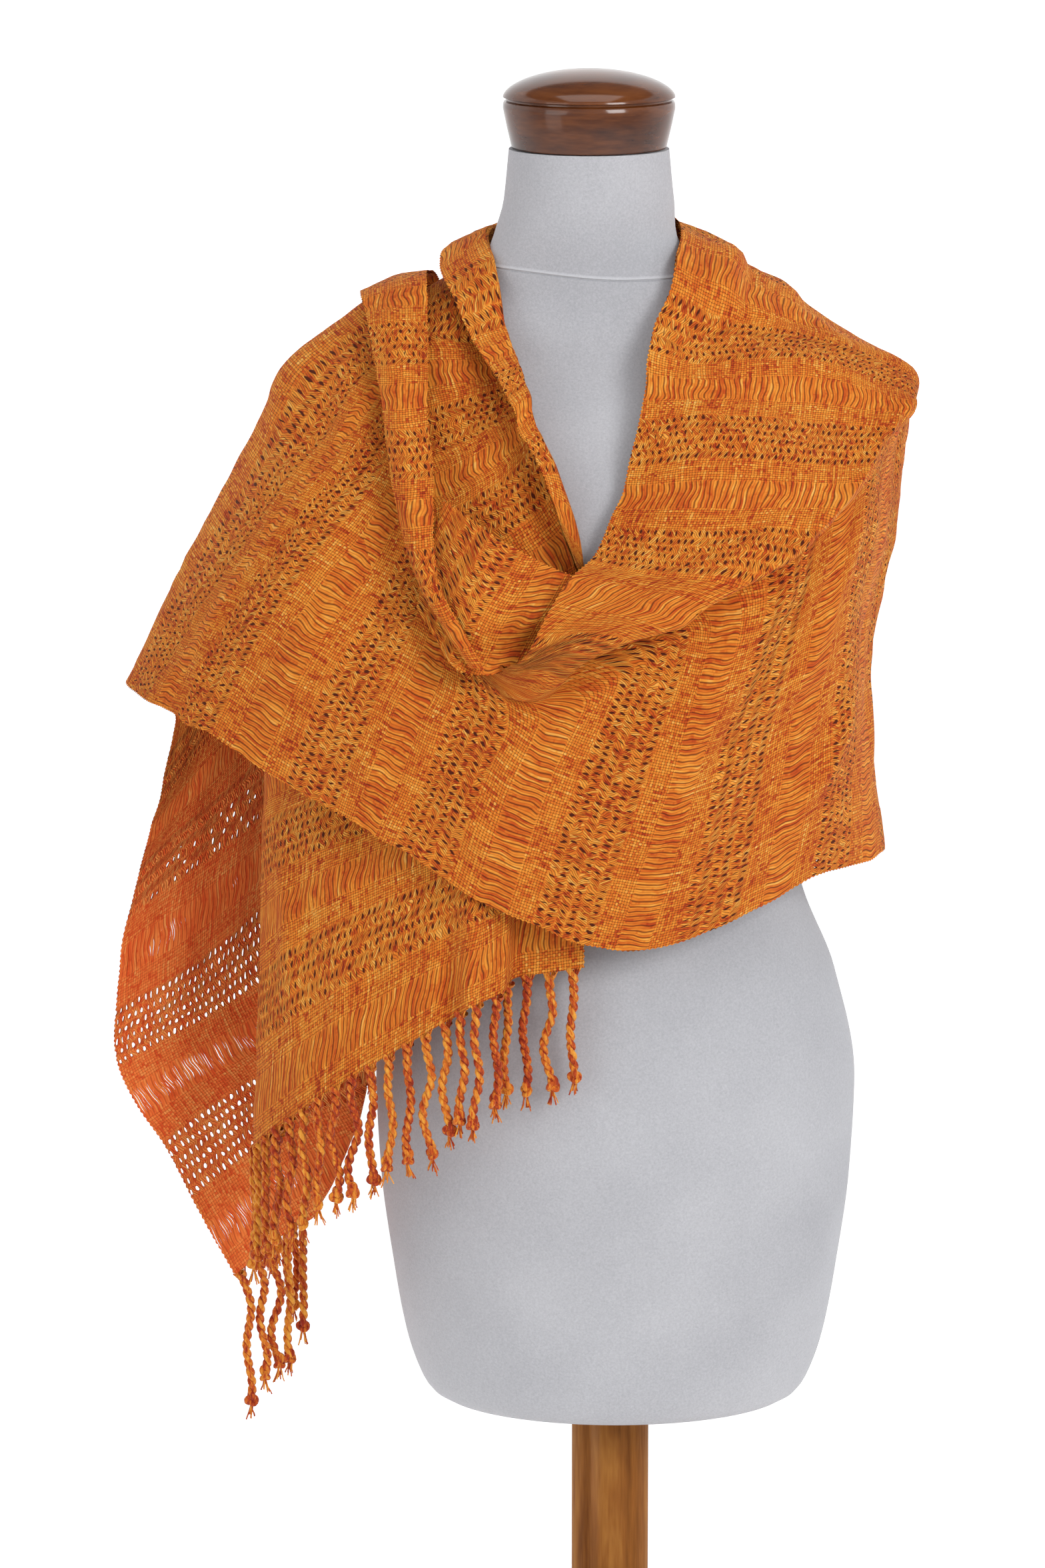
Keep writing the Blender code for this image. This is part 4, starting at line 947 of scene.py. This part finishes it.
def lacquered_wood(name, tones, stretch, roughness, coat):
    """Turned wood under clear lacquer: grain drawn out along one axis, with fine pores and a glossy coat."""
    material, tree, node = new_material(name)
    place = node("TexCoord", out="Object")
    drawn = node("Mapping", place, None, None, stretch)
    rings = node("TexNoise", Vector=drawn, Scale=36.0, Detail=5.0, Roughness=0.6, Distortion=0.7)
    pores = node("TexNoise", Vector=drawn, Scale=310.0, Detail=2.0, Roughness=0.7)
    tone = node("MULTIPLY_ADD", pores, 0.25, node("MULTIPLY", rings, 0.75))
    ramp = node("ValToRGB", tone, stops=tuple(zip((0.36, 0.50, 0.64), tones)))
    relief = node("MULTIPLY", pores, 0.00006)
    finish(tree, ramp, relief, {
        "Roughness": roughness,
        "Specular IOR Level": 0.0,
        "Coat Weight": coat,
        "Coat Roughness": 0.14,
        "Coat IOR": 1.55,
    })
    return material


def studio_paper():
    """Matt white background paper, lit through, most at the back so that it shows as even white."""
    material, tree, node = new_material("white_studio_paper")
    place = node("TexCoord", out="Object")
    fibre = node("TexNoise", Vector=place, Scale=60.0)
    white = node("Mix", fibre, linear("F7F7F7"), linear("FAFAFA"), data_type="RGBA")
    relief = node("MULTIPLY", fibre, 0.0001)
    depth = node("SeparateXYZ", place).node.outputs["Y"]
    strength = node("MapRange", depth, -3.0, 1.6, 0.07, 0.50, interpolation_type="SMOOTHSTEP")
    constants = {"Roughness": 0.95, "Emission Color": linear("FFFFFF")}
    finish(tree, white, relief, constants, **{"Emission Strength": strength})
    return material


# The pieces

def placed(piece, node):
    """Hides the solid of the model that a piece takes the place of, and makes the piece ride on the root."""
    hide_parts(node)
    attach(piece, "root")
    return piece


def row_at(length):
    """The row of the shawl nearest to a length along it."""
    return int(np.argmin(abs(shawl.along - length)))


cloth = handwoven_cloth()
cord = twisted_cord()

shawl = Cloth(FRONT_END, BACK_NECK, CROSS_FRONT, BACK_END)
shawl.crease(CREASES)
shawl.pucker(((0.045, 0.0015), (0.020, 0.0010), (0.009, 0.0004)))
shawl.scallop(0.024, 0.0018)
shawl.measure()

# Eyelets are half closed in front, wide open towards the back end and open at the right of the hem
openness = 0.42 + 0.22 * wander(shawl.length, shawl.width, 0.05, 5)
openness = openness + (1 - openness) * np.clip((shawl.length - 2.025) / 0.12, 0, 1)
openness = openness + 0.5 * np.exp(-((shawl.length - 1.21) / 0.02) ** 2 - (shawl.width / 0.03) ** 2)

names = ("front_end", "back_neck", "cross_front", "back_end")
ends = [0.0, FRONT_END[-1][0], CROSS_FRONT[1][0], CROSS_FRONT[-1][0], shawl.along[-1]]
for name, start, end in zip(names, ends, ends[1:]):
    piece = shawl.piece(name + "_cloth", cloth, CLOTH_WALL, openness, row_at(start), row_at(end) + 1)
    placed(piece, "shawl_" + name)

swag = Cloth(SWAG, seat=SWAG_SEAT)
swag.pucker(((0.020, 0.0007), (0.009, 0.0004)))
swag_weave = np.stack([
    FIRST_EYELETS + BAND_REPEAT / 2 + swag.length * 0.95 + swag.width * 0.20 - 0.036,
    swag.width - swag.length * 0.20,
], axis=-1)
swag_openness = np.full(swag.length.shape, 0.4)
swag_piece = swag.piece("swag_cloth", cloth, CLOTH_WALL, swag_openness, weave=swag_weave)
placed(swag_piece, "shawl_swag")

pleat = Cloth(SHOULDER_PLEAT, seat=PLEAT_SEAT)
pleat.pucker(((0.030, 0.0009), (0.012, 0.0005)))
pleat_weave = np.stack([FIRST_EYELETS + (pleat.length - PLEAT_EYELETS) * 1.14, pleat.width], axis=-1)
pleat_openness = np.full(pleat.length.shape, 0.3)
pleat_piece = pleat.piece("pleat_cloth", cloth, PLEAT_WALL, pleat_openness, weave=pleat_weave)
placed(pleat_piece, "shawl_shoulder_pleat")

for name, row, inner, length in (
    ("front", 0, 1, FRONT_STRAND_LENGTH),
    ("back", -1, -2, BACK_STRAND_LENGTH),
):
    edge = shawl.grid[row]
    piece = fringe("fringe_cords_" + name, edge, unit(edge - shawl.grid[inner]), length, cord)
    placed(piece, "fringe_" + name)

placed(torso(knit_jersey()), "form_torso")
beech_tones = ("6A3C18", "8E5726", "AE7638")
dark_tones = ("2A1206", "54290D", "703D18")
dark_wood = lacquered_wood("polished_brown_wood", dark_tones, (0.16, 0.16, 1.0), 0.30, 1.0)
beech = lacquered_wood("clear_lacquered_beech", beech_tones, (1.0, 1.0, 0.07), 0.42, 0.2)
board = lacquered_wood("clear_lacquered_beech_board", beech_tones, (0.05, 0.8, 1.0), 0.42, 0.2)
placed(turned("turned_neck_cap", cap_profile(), NECK_X, 160, dark_wood), "neck_cap")
pole_ends = [(POLE_RADIUS - 0.0005, BASE_HEIGHT + SEAM_GAP), (POLE_RADIUS, BASE_HEIGHT + 0.0008)]
pole_ends += [(POLE_RADIUS, TORSO_BOTTOM - 0.0011), (POLE_RADIUS - 0.0005, TORSO_BOTTOM - SEAM_GAP)]
placed(turned("round_pole", pole_ends, 0.0, 96, beech), "stand_pole")
placed(turned("round_base", base_profile(), 0.0, 160, board), "stand_base")


# Studio

def backdrop():
    """A floor that curves up into a wall on all sides: a level run, a quarter circle and an upright run,
    turned round the middle."""
    curve = arc((STUDIO_RADIUS - STUDIO_BEND, STUDIO_BEND), STUDIO_BEND, -90, 0, 24)
    radius, height = np.array([(0.01, 0.0), *curve, (STUDIO_RADIUS, STUDIO_HEIGHT)]).T
    turn = np.linspace(0, math.tau, 128, endpoint=False)
    x, y = np.outer(radius, np.cos(turn)), np.outer(radius, np.sin(turn))
    z = np.outer(height, np.ones(len(turn)))
    faces = grid_faces(len(radius), len(turn), wrap=True).tolist()
    return new_piece("studio_backdrop", np.stack([x, y, z], -1).reshape(-1, 3), faces, studio_paper())


def soft_light(name, place, aim, size, power):
    """A square white softbox at a place, turned to face a point and hidden from the camera."""
    light = bpy.data.lights.new(name, "AREA")
    light.shape, light.size, light.energy = "SQUARE", size, power
    lamp = bpy.data.objects.new(name, light)
    heading = np.array(aim) - np.array(place)
    flat = math.hypot(heading[0], heading[1])
    lamp.location = place
    lamp.rotation_euler = (math.atan2(flat, -heading[2]), 0, math.atan2(heading[1], heading[0]) - math.pi / 2)
    lamp.visible_camera = False
    bpy.context.scene.collection.objects.link(lamp)


backdrop()
soft_light("key", (1.9, -2.6, 2.5), (0, 0, 1.15), 1.4, 53)
soft_light("fill", (-2.4, -2.4, 1.9), (0, 0, 1.1), 1.8, 13)
soft_light("low_fill", (-2.3, -1.9, 0.8), (-0.2, 0, 1.0), 1.2, 3)
soft_light("top", (0.0, -0.6, 3.4), (0, 0, 1.2), 1.8, 17)

world = bpy.data.worlds.new("studio_air")
world.use_nodes = True
world.node_tree.nodes["Background"].inputs["Color"].default_value = linear("F4F6FA")
world.node_tree.nodes["Background"].inputs["Strength"].default_value = 0.19
bpy.context.scene.world = world
bpy.context.scene.view_settings.view_transform = "Standard"

lens = bpy.data.cameras.new("camera")
lens.sensor_fit = "VERTICAL"
lens.sensor_height = 36
lens.lens = lens.sensor_height / 2 / math.tan(math.radians(FIELD_OF_VIEW / 2))
camera = bpy.data.objects.new("camera", lens)
camera.location = CAMERA_PLACE
camera.rotation_euler = (math.radians(90 - CAMERA_PITCH), 0, 0)
bpy.context.scene.collection.objects.link(camera)
bpy.context.scene.camera = camera
